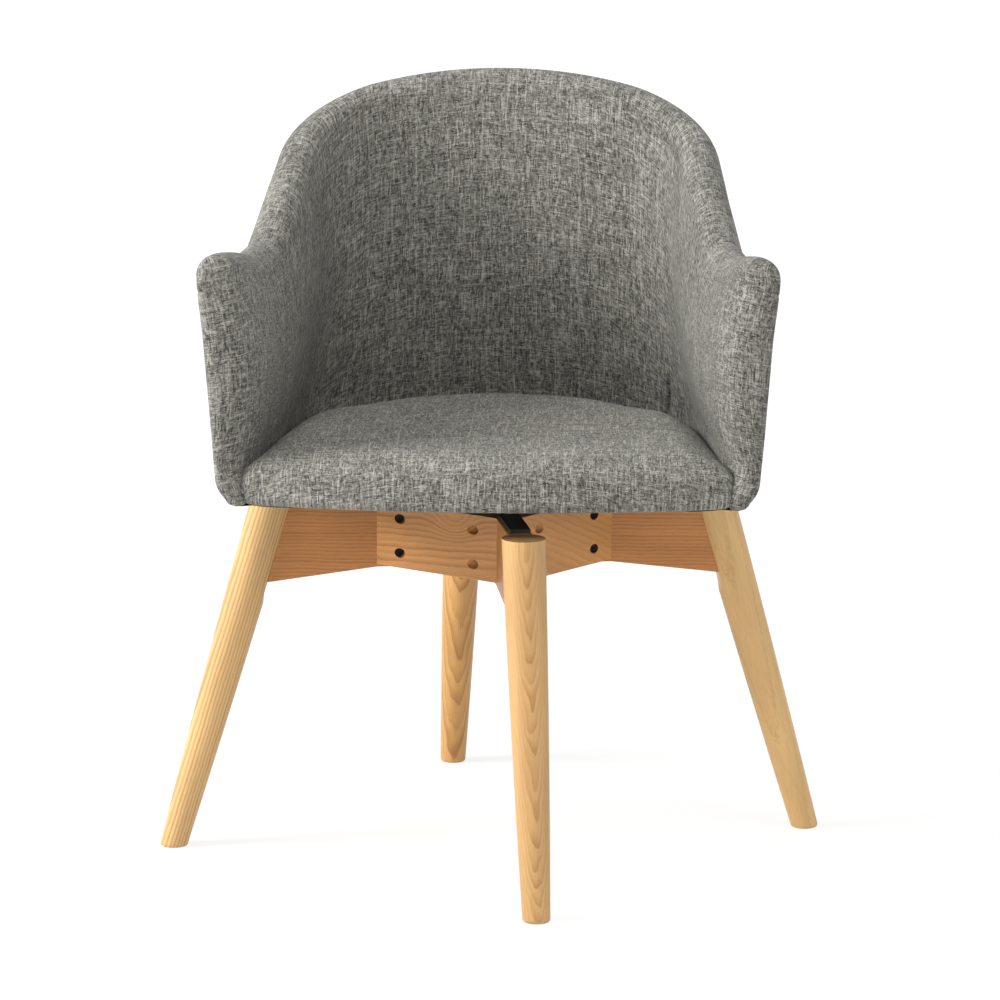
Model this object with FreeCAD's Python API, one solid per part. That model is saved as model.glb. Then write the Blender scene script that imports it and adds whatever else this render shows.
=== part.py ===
import FreeCAD, Part
import math
import os

# Swivel armchair: four splayed round ash legs on a half-lapped cross of ash boards with bolted corner
# blocks, a ball-bearing swivel on a flat black spider, and an upholstered seat in a wrap-round padded shell.
# Millimetres. The origin is on the floor under the swivel axis, +Z is up and the sitter faces -Y.

V = FreeCAD.Vector
UP = V(0, 0, 1)
CENTRE = V(0, 0, 0)

# Base: legs and cross
BASE_TURN = 9.3               # the legs' turn from the seat's axes as photographed, degrees
ARM_TOP = 362.0               # top of the wooden arms and of the legs
BOARD = 25.0                  # thickness of the two cross boards
BOARD_HIGH = 69.0             # height of the cross boards between the corner blocks
FOOT_REACH = 334.0            # axis of a leg from the swivel axis, at the floor
LEG_TOP_REACH = 229.5         # the same, at the leg's top
LEG_FOOT_R = 13.8
LEG_TOP_R = 21.8
LEG_SWELL = 0.9               # how far the leg's side bows out of a straight taper
FOOT_ROUND = 3.0              # rounding of the foot's edge
LEG_FLAT_DEEP = 4.6           # depth of the flat inner face that the arm's end meets
LEG_FLAT_BELOW = 2.0          # how far the flat runs on below the arm
LEG_FLAT_SWEEP = 46.0         # radius of the sweep from the flat to the full round
ARM_DROP = 14.0               # how much lower the arm's underside is at the leg
EDGE_BREAK = 1.2              # small chamfer along the arms' top edges

# Corner blocks and their connector bolts
BLOCK_HIGH = 66.5
BLOCK_REACH = 122.4           # where a block's slanted face meets the arm, from the swivel axis
BOLT_FROM_TIP = 21.6          # connector bolts from there, back along the arm
BOLT_UPPER_DOWN = 15.5        # bolts below the arm's top
BOLT_LOWER_DOWN = 51.0
BOLT_HEAD_R = 4.9
BOLT_HEAD_DEEP = 4.0
BOLT_HEAD_OFF = 14.0          # outer face of the bolt heads from the board's face
BOLT_SHANK_R = 3.0
SLEEVE_R = 4.2
SLEEVE_END = 5.0              # inner end of the sleeve nut, from the arm's middle plane
BOLT_END = 10.0               # how far the shank reaches past the middle plane into the sleeve
SOCKET_R = 2.3                # hexagon socket, across corners / 2
SOCKET_DEEP = 2.4
HOLE_EASE = 0.1               # radial room of the connector bolts in the wood

# Dowels between legs and arms
DOWEL_R = 5.0
DOWEL_HALF = 19.0
DOWEL_STEP = 36.0             # between the two dowels of a leg
DOWEL_TOP = 24.0              # upper dowel below the arm's top

# Swivel
SPIDER_T = 4.0
SPIDER_W = 21.0
SPIDER_SHORT = 24.5           # end of a spider arm inside the leg's top axis
SPIDER_DISC_SPARE = 6.0       # the disc under the lower race is wider by this
SCREW_INSIDE_BOLT = 30.8      # spider screws from the connector bolts, inwards and outwards
SCREW_OUTSIDE_BOLT = 15.2
SCREW_HEAD_R = 4.5
SCREW_HEAD_T = 2.4
SCREW_R = 2.2
SCREW_LONG = 24.0
PIN_R = 8.0
PIN_FLANGE_R = 15.0
PIN_FLANGE_T = 3.0
RUN_FIT = 0.06                # radial running clearance of the pin in its bush
BALL_R = 4.0
BALL_CIRCLE = 32.0
BALL_COUNT = 18
BALL_FIT = 0.05
RACE_HALF = 8.0               # half the width of a race
RACE_T = 7.0
RACE_GAP = 5.0                # between the two races
CAGE_HALF = 5.0
CAGE_T = 3.0
CAGE_FIT = 0.15
PLATE_T = 3.0
PLATE_SIDE = 160.0
PLATE_CORNER = 16.0
PLATE_BOLT_EDGE = 18.0        # plate bolts from the plate's edges
PLATE_BOLT_R = 3.0
PLATE_BOLT_HEAD_R = 6.0
PLATE_BOLT_HEAD_T = 3.5
TEE_R = 4.0
TEE_FLANGE_R = 10.0
TEE_FLANGE_T = 1.5
BUSH_WALL = 1.94
BUSH_FLANGE_R = 14.0
BUSH_FLANGE_T = 1.5
WASHER_R = 15.0
WASHER_T = 2.0
END_PLAY = 0.3                # between the bush's flange and the washer
NUT_AF = 22.0                 # across flats
NUT_T = 7.0
PIN_PROUD = 0.4
PIN_ROOM = 0.8                # air over the pin's end
PIN_ROOM_R = 5.0              # air round the washer in the seat board's hole

# Seat
SEAT_BOARD_T = 12.0
FABRIC = 1.6
DUST_T = 0.8
DUST_IN = 9.0                 # edge of the dust cover inside the cushion's and the wall's lower edges
DUST_ROOM = 12.0              # room between the swivel plate and the dust cover's square opening
CUSHION_HIGH = 55.0           # cushion's top above the underside of the seat board
SEAT_FRONT = -243.0
SEAT_FRONT_BOW = 700.0        # radius of the cushion's front edge in plan
SEAT_CORNER = 30.0            # front corner radius in plan
SEAT_GAP = 0.5                # between the cushion and the shell's inner face
SEAT_MIDDLE = -15.0           # the point, in Y, that the cushion's sections shrink to
BOARD_INSET = 14.0            # edge of the seat board inside the cushion
LIP = 30.0                    # fabric turned under the board
BELLY_UP = 0.38               # level of the cushion's widest line, as a share of its height
BELLY_UNDER_IN = 9.0          # the cushion draws in by this from there to its underside
BELLY_STEPS = 4
CROWN_IN = 140.0              # the cushion's flattest top is inside its outline by this
CROWN_SQUARE = 5.0            # exponents of the curve from the widest line over to the top
CROWN_ROUND = 0.46
CROWN_STEPS = 8

# Shell: the outer wall in plan, at the seat's level. Heights are above the underside of the seat board.
SHELL_FRONT_HALF = 272.0      # half width at the arms' front
SHELL_FRONT = -196.0
SIDE_TAPER = 5.2              # the sides close in towards the back, degrees
CORNER_R = 122.0
BACK_R = 620.0
SHELL_BACK = 262.0
PLAN_UP = 42.0                # level of the plan
ARM_FLARE = 0.075             # outward lean of the arm's front
SIDE_FLARE = -0.03            # lean of the side at the rear corner, inward
BACK_RAKE = 0.17              # backward lean of the back
RAKE_FROM = 200.0             # distance along the plan where the rake begins
ARM_UP = 240.0
NOSE_RISE = 10.0              # the arm's front end stands higher by this
NOSE_RISE_LONG = 70.0
BACK_UP = 390.0
RISE_FROM = 190.0             # distance along the plan where the rim starts to climb
RISE_SHAPE = 0.57             # exponent of the climb: under 1 climbs early
RIM_T = 42.0                  # wall thickness at the rounded rim
WALL_MID_T = 52.0             # thickest padding
WALL_SEAT_T = 34.5            # wall at the seat cushion
WALL_MID_UP = 0.45            # place of the thickest padding, as a share of the height above the seat
BOTTOM_TUCK = 9.0             # the outer wall draws in at the bottom
BOTTOM_TUCK_HIGH = 26.0
CREASE_UP = 46.0              # below this level the wall's inner face is upright, beside the cushion
NOSE_LONG = 15.0              # rounded front end of an arm
NOSE_IN = 12.0
NOSE_ARC = 65.0               # how far round the nose curves before its flat front, degrees
NOSE_STEPS = 5
SIDE_STEPS = 8                # sections along a side, round a corner and along half the back
CORNER_STEPS = 9
BACK_STEPS = 5

# Shell's inside
CORE_T = 9.0
CORE_IN = 12.0                # outer face of the core inside the outer wall
CORE_BELOW_RIM = 26.0
SLOT_FROM_CORE = 2.0          # open strip in the cover's underside, inwards from the core's outer face
BRACKET_W = 30.0
BRACKET_UP = 30.0
BRACKET_REACH = 62.0
BRACKET_SCREW_R = 2.0
BRACKET_HEAD_R = 4.0
BRACKET_SCREW_LONG = 9.0      # foot screws, up into the seat board
BRACKET_CORE_SHARE = 0.7      # how deep the wall screws go into the core
BRACKET_SCREW_UP = 18.0       # wall screws above the foot
BRACKET_SCREW_EDGE = 10.0     # foot screws from the foot's end
BRACKET_SCREW_STEP = 15.0     # between the two screws of a row
BRACKET_FRONT = 70.0          # front bracket, from the arm's front along the side
BRACKET_REAR = 215.0

CUT_SPARE = 1.0               # cutting tools reach past the solids by this

# Levels and places that follow from these
CROSS_UNDER = ARM_TOP - BOARD_HIGH
BLOCK_UNDER = ARM_TOP - BLOCK_HIGH
BOLT_REACH = BLOCK_REACH - BOLT_FROM_TIP
BOLT_HEAD_OUT = BOARD / 2.0 + BOLT_HEAD_OFF
SPIDER_TOP = ARM_TOP + SPIDER_T
PLATE_UNDER = SPIDER_TOP + 2.0 * RACE_T + RACE_GAP
SEAT_UNDER = PLATE_UNDER + PLATE_T
COVER_LOW = SEAT_UNDER - FABRIC
BOARD_TOP = SEAT_UNDER + SEAT_BOARD_T
SEAT_TOP = SEAT_UNDER + CUSHION_HIGH
PLAN_LEVEL = SEAT_UNDER + PLAN_UP
CREASE = SEAT_UNDER + CREASE_UP
ARM_HEIGHT = SEAT_UNDER + ARM_UP
BACK_HEIGHT = SEAT_UNDER + BACK_UP
SEAT_OFFSET = WALL_SEAT_T + SEAT_GAP
CORE_FACE = CORE_IN + CORE_T

os.makedirs("parts", exist_ok=True)


def save(shape, name):
    shape.exportStep("parts/" + name + ".step")
    kinds = [s.isValid() for s in shape.Solids]
    print(name, len(shape.Solids), all(kinds), round(shape.Volume / 1000.0, 2))


def group(solids):
    return Part.makeCompound(solids)


def turned(shape, angle):
    copy = shape.copy()
    copy.rotate(CENTRE, UP, angle)
    return copy


def prism(points, direction):
    wire = Part.makePolygon(points + [points[0]])
    return Part.Face(wire).extrude(direction)


def chain(points):
    return [Part.makeLine(p, q) for p, q in zip(points, points[1:])]


def rod(radius, start, end):
    return Part.makeCylinder(radius, (end - start).Length, start, end - start)


def ring(inner, outer, low, high):
    disc = Part.makeCylinder(outer, high - low, V(0, 0, low))
    return disc.cut(Part.makeCylinder(inner, high - low, V(0, 0, low)))


def hexagon(across_flats, height, base):
    corner = across_flats / math.sqrt(3.0)
    points = [base + V(corner * math.cos(math.radians(60 * i)), corner * math.sin(math.radians(60 * i)), 0)
              for i in range(6)]
    return prism(points, V(0, 0, height))


# Legs, modelled along +X from the swivel axis and turned into place

leg_slope = (FOOT_REACH - LEG_TOP_REACH) / ARM_TOP
leg_tilt = math.atan(leg_slope)
leg_up = V(-math.sin(leg_tilt), 0, math.cos(leg_tilt))
leg_in = V(-math.cos(leg_tilt), 0, -math.sin(leg_tilt))
leg_foot = V(FOOT_REACH, 0, 0)
leg_long = ARM_TOP / math.cos(leg_tilt)
leg_flat = LEG_TOP_R - LEG_FLAT_DEEP
leg_spare = LEG_TOP_R         # raw length past both ends, before the level cuts


def leg_radius(along):
    share = along / leg_long
    straight = LEG_FOOT_R + (LEG_TOP_R - LEG_FOOT_R) * share
    return straight + 4.0 * LEG_SWELL * share * (1.0 - share)


def flat_plane_x(z):
    """X of the leg's inner flat at the height z, where the arm's end meets it."""
    return FOOT_REACH - leg_slope * z - leg_flat / math.cos(leg_tilt)


def make_leg():
    low, mid, high = -leg_spare, leg_long / 2.0, leg_long + leg_spare
    bow = Part.Arc(V(leg_radius(low), 0, low), V(leg_radius(mid), 0, mid), V(leg_radius(high), 0, high))
    side = [bow.toShape(),
            Part.makeLine(V(leg_radius(high), 0, high), V(0, 0, high)),
            Part.makeLine(V(0, 0, high), V(0, 0, low)),
            Part.makeLine(V(0, 0, low), V(leg_radius(low), 0, low))]
    leg = Part.Face(Part.Wire(side)).revolve(CENTRE, UP, 360)
    leg.rotate(CENTRE, V(0, 1, 0), -math.degrees(leg_tilt))
    leg.translate(leg_foot)
    span = 2.0 * FOOT_REACH
    keep = Part.makeBox(span, span, ARM_TOP, V(0, -span / 2.0, 0))
    leg = leg.common(keep)
    foot_edges = [e for e in leg.Edges if e.BoundBox.ZMax < 0.01]
    leg = leg.makeFillet(FOOT_ROUND, foot_edges)
    # The flat for the arm's end: a block of air with a swept lower end, laid along the leg's axis
    arm_bottom = (CROSS_UNDER - ARM_DROP) / math.cos(leg_tilt)
    flat_end = arm_bottom - LEG_FLAT_BELOW
    wide = 2.0 * LEG_TOP_R
    away = leg_flat + LEG_FLAT_SWEEP
    slant = LEG_FLAT_SWEEP * math.sqrt(0.5)
    start = V(-leg_flat, -wide, flat_end)
    half_way = V(slant - away, -wide, flat_end - slant)
    end = V(-away, -wide, flat_end - LEG_FLAT_SWEEP)
    sweep = Part.Arc(start, half_way, end).toShape()
    profile = Part.Wire([sweep] + chain([end, V(-away, -wide, high), V(-leg_flat, -wide, high), start]))
    air = Part.Face(profile).extrude(V(0, 2.0 * wide, 0))
    air.rotate(CENTRE, V(0, 1, 0), -math.degrees(leg_tilt))
    air.translate(leg_foot)
    return leg.cut(air)


def dowel_spans():
    """Two dowels of the leg on +X, square to its flat."""
    spans = []
    for drop in (DOWEL_TOP, DOWEL_TOP + DOWEL_STEP):
        z = ARM_TOP - drop
        at = V(flat_plane_x(z), 0, z)
        spans.append((at + leg_in * DOWEL_HALF, at - leg_in * DOWEL_HALF))
    return spans


def leg_holes():
    return [rod(DOWEL_R, a, b) for a, b in dowel_spans()]


def make_beam(notch_from_top):
    """A cross board along X with a half lap in the middle."""
    end_low = flat_plane_x(CROSS_UNDER - ARM_DROP)
    end_high = flat_plane_x(ARM_TOP)
    half = BOARD / 2.0
    right = [V(BLOCK_REACH, -half, CROSS_UNDER), V(end_low, -half, CROSS_UNDER - ARM_DROP),
             V(end_high, -half, ARM_TOP)]
    left = [V(-p.x, p.y, p.z) for p in reversed(right)]
    beam = prism(right + left, V(0, BOARD, 0))
    top_edges = [e for e in beam.Edges if e.BoundBox.ZMin > ARM_TOP - 0.01 and e.BoundBox.XLength > BOARD * 2]
    beam = beam.makeChamfer(EDGE_BREAK, top_edges)
    middle = (ARM_TOP + CROSS_UNDER) / 2.0
    notch_low = middle if notch_from_top else CROSS_UNDER - CUT_SPARE
    notch_high = ARM_TOP + CUT_SPARE if notch_from_top else middle
    notch = Part.makeBox(BOARD, BOARD, notch_high - notch_low, V(-half, -half, notch_low))
    beam = beam.cut(notch)
    tools = []
    for angle in (0, 180):
        tools += [turned(h, angle) for h in leg_holes()]
        tools += [turned(h, angle) for h in bolt_holes() + screw_holes()]
    return beam.cut(tools)


def bolt_levels():
    return (ARM_TOP - BOLT_UPPER_DOWN, ARM_TOP - BOLT_LOWER_DOWN)


def bolt_holes():
    """Air for the connector bolts of the arm on +X, which run along Y."""
    far = BLOCK_REACH
    seat = BOLT_HEAD_OUT - BOLT_HEAD_DEEP
    holes = []
    for z in bolt_levels():
        holes.append(rod(SLEEVE_R + HOLE_EASE, V(BOLT_REACH, -far, z), V(BOLT_REACH, far, z)))
        for side in (-1, 1):
            holes.append(rod(BOLT_HEAD_R + HOLE_EASE, V(BOLT_REACH, side * seat, z),
                             V(BOLT_REACH, side * far, z)))
    return holes


def socket(z, side):
    """Hexagon socket in a bolt head's outer face."""
    points = []
    for i in range(6):
        angle = math.radians(60 * i)
        points.append(V(BOLT_REACH + SOCKET_R * math.cos(angle), side * BOLT_HEAD_OUT,
                        z + SOCKET_R * math.sin(angle)))
    return prism(points, V(0, -side * SOCKET_DEEP, 0))


def make_bolt(z):
    seat = BOLT_HEAD_OUT - BOLT_HEAD_DEEP
    head = rod(BOLT_HEAD_R, V(BOLT_REACH, seat, z), V(BOLT_REACH, BOLT_HEAD_OUT, z))
    shank = rod(BOLT_SHANK_R, V(BOLT_REACH, -BOLT_END, z), V(BOLT_REACH, seat, z))
    return head.fuse(shank).removeSplitter().cut(socket(z, 1))


def make_sleeve_nut(z):
    seat = BOLT_HEAD_OUT - BOLT_HEAD_DEEP
    head = rod(BOLT_HEAD_R, V(BOLT_REACH, -BOLT_HEAD_OUT, z), V(BOLT_REACH, -seat, z))
    sleeve = rod(SLEEVE_R, V(BOLT_REACH, -seat, z), V(BOLT_REACH, -SLEEVE_END, z))
    bore = rod(BOLT_SHANK_R, V(BOLT_REACH, -seat, z), V(BOLT_REACH, -SLEEVE_END, z))
    return head.fuse(sleeve).removeSplitter().cut([bore, socket(z, -1)])


def make_block():
    """The corner block between the arms on +X and +Y."""
    half = BOARD / 2.0
    points = [V(half, half, BLOCK_UNDER), V(BLOCK_REACH, half, BLOCK_UNDER), V(half, BLOCK_REACH, BLOCK_UNDER)]
    block = prism(points, V(0, 0, ARM_TOP - BLOCK_UNDER))
    return block.cut(bolt_holes() + [turned(h, 90) for h in bolt_holes()])


def screw_places():
    return (BOLT_REACH - SCREW_INSIDE_BOLT, BOLT_REACH + SCREW_OUTSIDE_BOLT)


def screw_holes():
    return [rod(SCREW_R, V(x, 0, ARM_TOP - SCREW_LONG), V(x, 0, ARM_TOP)) for x in screw_places()]


def make_screws():
    """Countersunk screws of the spider's arm on +X."""
    top = SPIDER_TOP
    screws = []
    for x in screw_places():
        head = Part.makeCone(SCREW_R, SCREW_HEAD_R, SCREW_HEAD_T, V(x, 0, top - SCREW_HEAD_T))
        shank = rod(SCREW_R, V(x, 0, ARM_TOP - SCREW_LONG), V(x, 0, top - SCREW_HEAD_T))
        screws.append(head.fuse(shank).removeSplitter())
    return screws


# Base parts

raw_leg = make_leg().cut(leg_holes())
ARM_ANGLES = {"right": 0, "back": 90, "left": 180, "front": 270}
for side, angle in ARM_ANGLES.items():
    save(turned(raw_leg, angle + BASE_TURN), side + "_leg")
save(turned(make_beam(True), BASE_TURN), "side_beam")
save(turned(make_beam(False), 90 + BASE_TURN), "front_back_beam")
raw_block = make_block()
BLOCK_ANGLES = {"back_right": 0, "back_left": 90, "front_left": 180, "front_right": 270}
for corner, angle in BLOCK_ANGLES.items():
    save(turned(raw_block, angle + BASE_TURN), "corner_block_" + corner)

bolts, nuts, dowels, screws = [], [], [], []
for angle in ARM_ANGLES.values():
    turn = angle + BASE_TURN
    bolts += [turned(make_bolt(z), turn) for z in bolt_levels()]
    nuts += [turned(make_sleeve_nut(z), turn) for z in bolt_levels()]
    dowels += [turned(h, turn) for h in leg_holes()]
    screws += [turned(s, turn) for s in make_screws()]
save(group(bolts), "connector_bolts")
save(group(nuts), "connector_sleeve_nuts")
save(group(dowels), "leg_dowels")
save(group(screws), "spider_screws")

# Swivel

ball_level = SPIDER_TOP + RACE_T + RACE_GAP / 2.0
race_in, race_out = BALL_CIRCLE - RACE_HALF, BALL_CIRCLE + RACE_HALF
spider_reach = LEG_TOP_REACH - SPIDER_SHORT
spider = Part.makeCylinder(race_out + SPIDER_DISC_SPARE, SPIDER_T, V(0, 0, ARM_TOP))
for angle in ARM_ANGLES.values():
    strip = Part.makeBox(spider_reach, SPIDER_W, SPIDER_T, V(0, -SPIDER_W / 2.0, ARM_TOP))
    spider = spider.fuse(turned(strip, angle))
spider = spider.removeSplitter()
spider_air = [Part.makeCylinder(PIN_R, SPIDER_T, V(0, 0, ARM_TOP))]
for angle in ARM_ANGLES.values():
    spider_air += [turned(s, angle) for s in make_screws()]
save(turned(spider.cut(spider_air), BASE_TURN), "swivel_spider")

groove = Part.makeTorus(BALL_CIRCLE, BALL_R + BALL_FIT, V(0, 0, ball_level))
save(ring(race_in, race_out, SPIDER_TOP, SPIDER_TOP + RACE_T).cut(groove), "lower_race")
save(ring(race_in, race_out, PLATE_UNDER - RACE_T, PLATE_UNDER).cut(groove), "upper_race")
ball_places = [V(BALL_CIRCLE * math.cos(2 * math.pi * i / BALL_COUNT),
                 BALL_CIRCLE * math.sin(2 * math.pi * i / BALL_COUNT), ball_level) for i in range(BALL_COUNT)]
save(group([Part.makeSphere(BALL_R, p) for p in ball_places]), "bearing_balls")
cage_low = ball_level - CAGE_T / 2.0
cage = ring(BALL_CIRCLE - CAGE_HALF, BALL_CIRCLE + CAGE_HALF, cage_low, cage_low + CAGE_T)
save(cage.cut([Part.makeSphere(BALL_R + CAGE_FIT, p) for p in ball_places]), "ball_cage")

flange_top = SEAT_UNDER + BUSH_FLANGE_T
washer_low = flange_top + END_PLAY
nut_low = washer_low + WASHER_T
pin_top = nut_low + NUT_T + PIN_PROUD
pin = Part.makeCylinder(PIN_R, pin_top - ARM_TOP, V(0, 0, ARM_TOP))
pin = pin.fuse(Part.makeCylinder(PIN_FLANGE_R, PIN_FLANGE_T, V(0, 0, SPIDER_TOP))).removeSplitter()
save(pin, "pivot_pin")
save(ring(PIN_R, WASHER_R, washer_low, nut_low), "pivot_washer")
nut = hexagon(NUT_AF, NUT_T, V(0, 0, nut_low)).cut(Part.makeCylinder(PIN_R, NUT_T, V(0, 0, nut_low)))
save(nut, "pivot_nut")
bush_in = PIN_R + RUN_FIT
bush_out = bush_in + BUSH_WALL
bush = ring(bush_in, bush_out, PLATE_UNDER, SEAT_UNDER)
bush = bush.fuse(ring(bush_in, BUSH_FLANGE_R, SEAT_UNDER, flange_top)).removeSplitter()
save(bush, "pivot_bush")

plate_half = PLATE_SIDE / 2.0
plate = Part.makeBox(PLATE_SIDE, PLATE_SIDE, PLATE_T, V(-plate_half, -plate_half, PLATE_UNDER))
plate = plate.makeFillet(PLATE_CORNER, [e for e in plate.Edges if e.BoundBox.ZLength > PLATE_T / 2.0])
bolt_at = plate_half - PLATE_BOLT_EDGE
bolt_spots = [V(sx * bolt_at, sy * bolt_at, PLATE_UNDER) for sx in (-1, 1) for sy in (-1, 1)]
plate_air = [Part.makeCylinder(bush_out, PLATE_T, V(0, 0, PLATE_UNDER))]
plate_air += [Part.makeCylinder(PLATE_BOLT_R, PLATE_T, p) for p in bolt_spots]
save(plate.cut(plate_air), "swivel_plate")

plate_bolts, tee_nuts, tee_air = [], [], []
for p in bolt_spots:
    head = Part.makeCylinder(PLATE_BOLT_HEAD_R, PLATE_BOLT_HEAD_T, p - V(0, 0, PLATE_BOLT_HEAD_T))
    shank = Part.makeCylinder(PLATE_BOLT_R, BOARD_TOP - PLATE_UNDER, p)
    plate_bolts.append(head.fuse(shank).removeSplitter())
    barrel_base = V(p.x, p.y, SEAT_UNDER)
    barrel = Part.makeCylinder(TEE_R, SEAT_BOARD_T, barrel_base)
    flange = Part.makeCylinder(TEE_FLANGE_R, TEE_FLANGE_T, V(p.x, p.y, BOARD_TOP - TEE_FLANGE_T))
    solid = barrel.fuse(flange).removeSplitter()
    tee_air.append(solid)
    tee_nuts.append(solid.cut(Part.makeCylinder(PLATE_BOLT_R, SEAT_BOARD_T, barrel_base)))
save(group(plate_bolts), "plate_bolts")
save(group(tee_nuts), "tee_nuts")

# Plan curves. A side is a straight line, the rear corner an arc, and the back or front edge a wide arc.


def tangent_corner(line_point, line_dir, line_normal, big_centre, big_radius, radius):
    """Centre of the arc of the given radius that touches the line and, from inside, the wide arc."""
    start = line_point - line_normal * radius - big_centre
    b = start.dot(line_dir)
    c = start.dot(start) - (big_radius - radius) ** 2
    return line_point - line_normal * radius + line_dir * (math.sqrt(b * b - c) - b)


taper = math.radians(SIDE_TAPER)
side_dir = V(-math.sin(taper), math.cos(taper), 0)
side_normal = V(math.cos(taper), math.sin(taper), 0)
side_start = V(SHELL_FRONT_HALF, SHELL_FRONT, 0)
back_centre = V(0, SHELL_BACK - BACK_R, 0)
corner_centre = tangent_corner(side_start, side_dir, side_normal, back_centre, BACK_R, CORNER_R)
side_long = (corner_centre + side_normal * CORNER_R - side_start).dot(side_dir)
back_angle = math.atan2(corner_centre.y - back_centre.y, corner_centre.x - back_centre.x)
corner_long = CORNER_R * (back_angle - taper)
back_long = BACK_R * (math.pi / 2.0 - back_angle)
half_long = side_long + corner_long + back_long


def plan_place(along):
    """Point and outward normal of the shell's right half, at a distance from the arm's front."""
    if along <= side_long:
        return side_start + side_dir * along, side_normal
    if along <= side_long + corner_long:
        angle = taper + (along - side_long) / CORNER_R
        normal = V(math.cos(angle), math.sin(angle), 0)
        return corner_centre + normal * CORNER_R, normal
    angle = back_angle + (along - side_long - corner_long) / BACK_R
    normal = V(math.cos(angle), math.sin(angle), 0)
    return back_centre + normal * BACK_R, normal


def ease(share):
    share = min(1.0, max(0.0, share))
    return share * share * (3.0 - 2.0 * share)


def rim_height(along):
    share = min(1.0, max(0.0, (along - RISE_FROM) / (half_long - RISE_FROM)))
    climb = (1.0 - math.cos(math.pi * share ** RISE_SHAPE)) / 2.0
    nose = NOSE_RISE * math.exp(-(along / NOSE_RISE_LONG) ** 2)
    return ARM_HEIGHT + (BACK_HEIGHT - ARM_HEIGHT) * climb + nose


def wall_lean(along, normal):
    out = (ARM_FLARE + (SIDE_FLARE - ARM_FLARE) * ease(along / side_long)) * normal.x
    back = BACK_RAKE * ease((along - RAKE_FROM) / (half_long - RAKE_FROM))
    return V(out, back, 1.0)


def wall_point(along, inward, height, mirror):
    """A point of the wall: its distance along the plan, its depth inside the outer face, its height."""
    place, normal = plan_place(max(along, 0.0))
    if along < 0:
        place = place + side_dir * along
    lean = wall_lean(max(along, 0.0), normal)
    p = place - normal * inward + lean * (height - PLAN_LEVEL)
    p.z = height
    if mirror:
        p.x = -p.x
    return p


def wall_profile(along, mirror, inset):
    """Edges of the padded wall's profile, drawn in by an inset, from its outer foot over the rim."""
    start = max(along, 0.0)
    rim = rim_height(start) - inset
    thick = RIM_T - 2.0 * inset
    shoulder = rim - thick / 2.0
    reach = math.sqrt(0.5) * thick / 2.0
    seat_in = WALL_SEAT_T - inset
    bulge_level = CREASE + (shoulder - CREASE) * WALL_MID_UP
    low = COVER_LOW + inset
    normal = plan_place(start)[1]
    lean_out = wall_lean(start, normal).dot(normal)
    foot_in = seat_in - lean_out * (CREASE - low)

    def at(inward, height):
        return wall_point(along, inward, height, mirror)

    p = [at(inset + BOTTOM_TUCK, low), at(inset, low + BOTTOM_TUCK_HIGH), at(inset, shoulder),
         at(inset + thick / 2.0, rim), at(inset + thick, shoulder), at(seat_in, CREASE), at(foot_in, low)]
    tuck = at(inset + BOTTOM_TUCK / 4.0, low + BOTTOM_TUCK_HIGH / 2.0)
    outer_round = at(inset + thick / 2.0 - reach, shoulder + reach)
    inner_round = at(inset + thick / 2.0 + reach, shoulder + reach)
    bulge = at(WALL_MID_T - inset, bulge_level)
    edges = [Part.Arc(p[0], tuck, p[1]).toShape(), Part.makeLine(p[1], p[2]),
             Part.Arc(p[2], outer_round, p[3]).toShape(), Part.Arc(p[3], inner_round, p[4]).toShape(),
             Part.Arc(p[4], bulge, p[5]).toShape(), Part.makeLine(p[5], p[6])]
    return edges, p[0], p[6]


def nose_section(along, mirror, inset):
    edges, first, last = wall_profile(along, mirror, inset)
    return Part.Wire(edges + chain([last, first]))


def cover_section(along, mirror):
    """The fabric over the wall: a sock open along a strip in its underside."""
    outside, out_first, out_last = wall_profile(along, mirror, 0.0)
    inside, in_first, in_last = wall_profile(along, mirror, FABRIC)
    slot_out = CORE_IN + SLOT_FROM_CORE
    slot_in = slot_out + CORE_T
    strip = [wall_point(along, inward, z, mirror) for inward, z in
             ((slot_in, COVER_LOW), (slot_in, SEAT_UNDER), (slot_out, SEAT_UNDER), (slot_out, COVER_LOW))]
    return Part.Wire(outside + chain([out_last, strip[0], strip[1], in_last]) + inside[::-1]
                     + chain([in_first, strip[2], strip[3], out_first]))


def core_corners(along, mirror):
    top = rim_height(along) - CORE_BELOW_RIM
    return [wall_point(along, inward, z, mirror) for inward, z in
            ((CORE_FACE, SEAT_UNDER), (CORE_FACE, top), (CORE_IN, top), (CORE_IN, SEAT_UNDER))]


def foam_section(along, mirror):
    """The padding under the fabric, with the groove that the core stands in."""
    edges, first, last = wall_profile(along, mirror, FABRIC)
    return Part.Wire(edges + chain([last] + core_corners(along, mirror) + [first]))


def core_section(along, mirror):
    corners = core_corners(along, mirror)
    return Part.Wire(chain(corners + corners[:1]))


def strip_section(along, mirror):
    """The dust cover's band under the wall."""
    reach = SEAT_OFFSET + 2.0 * DUST_IN
    edge = BOTTOM_TUCK + DUST_IN
    low = COVER_LOW - DUST_T
    corners = [wall_point(along, inward, z, mirror) for inward, z in
               ((edge, low), (reach, low), (reach, COVER_LOW), (edge, COVER_LOW))]
    return Part.Wire(chain(corners + corners[:1]))


def side_stations():
    """Distances along the right side where the wall has a section, from the arm's front."""
    return [side_long * i / SIDE_STEPS for i in range(SIDE_STEPS + 1)]


def rear_stations():
    """The same from the end of the side to the middle of the back."""
    marks = [side_long + corner_long * i / CORNER_STEPS for i in range(CORNER_STEPS)]
    return marks + [side_long + corner_long + back_long * i / BACK_STEPS for i in range(BACK_STEPS + 1)]


def wall_loft(section, marks):
    """A solid round the wall through one section at each mark, and back through their mirror images."""
    right = [section(s, False) for s in marks]
    left = [section(s, True) for s in marks[:-1]]
    return Part.makeLoft(right + left[::-1], True, True)


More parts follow.
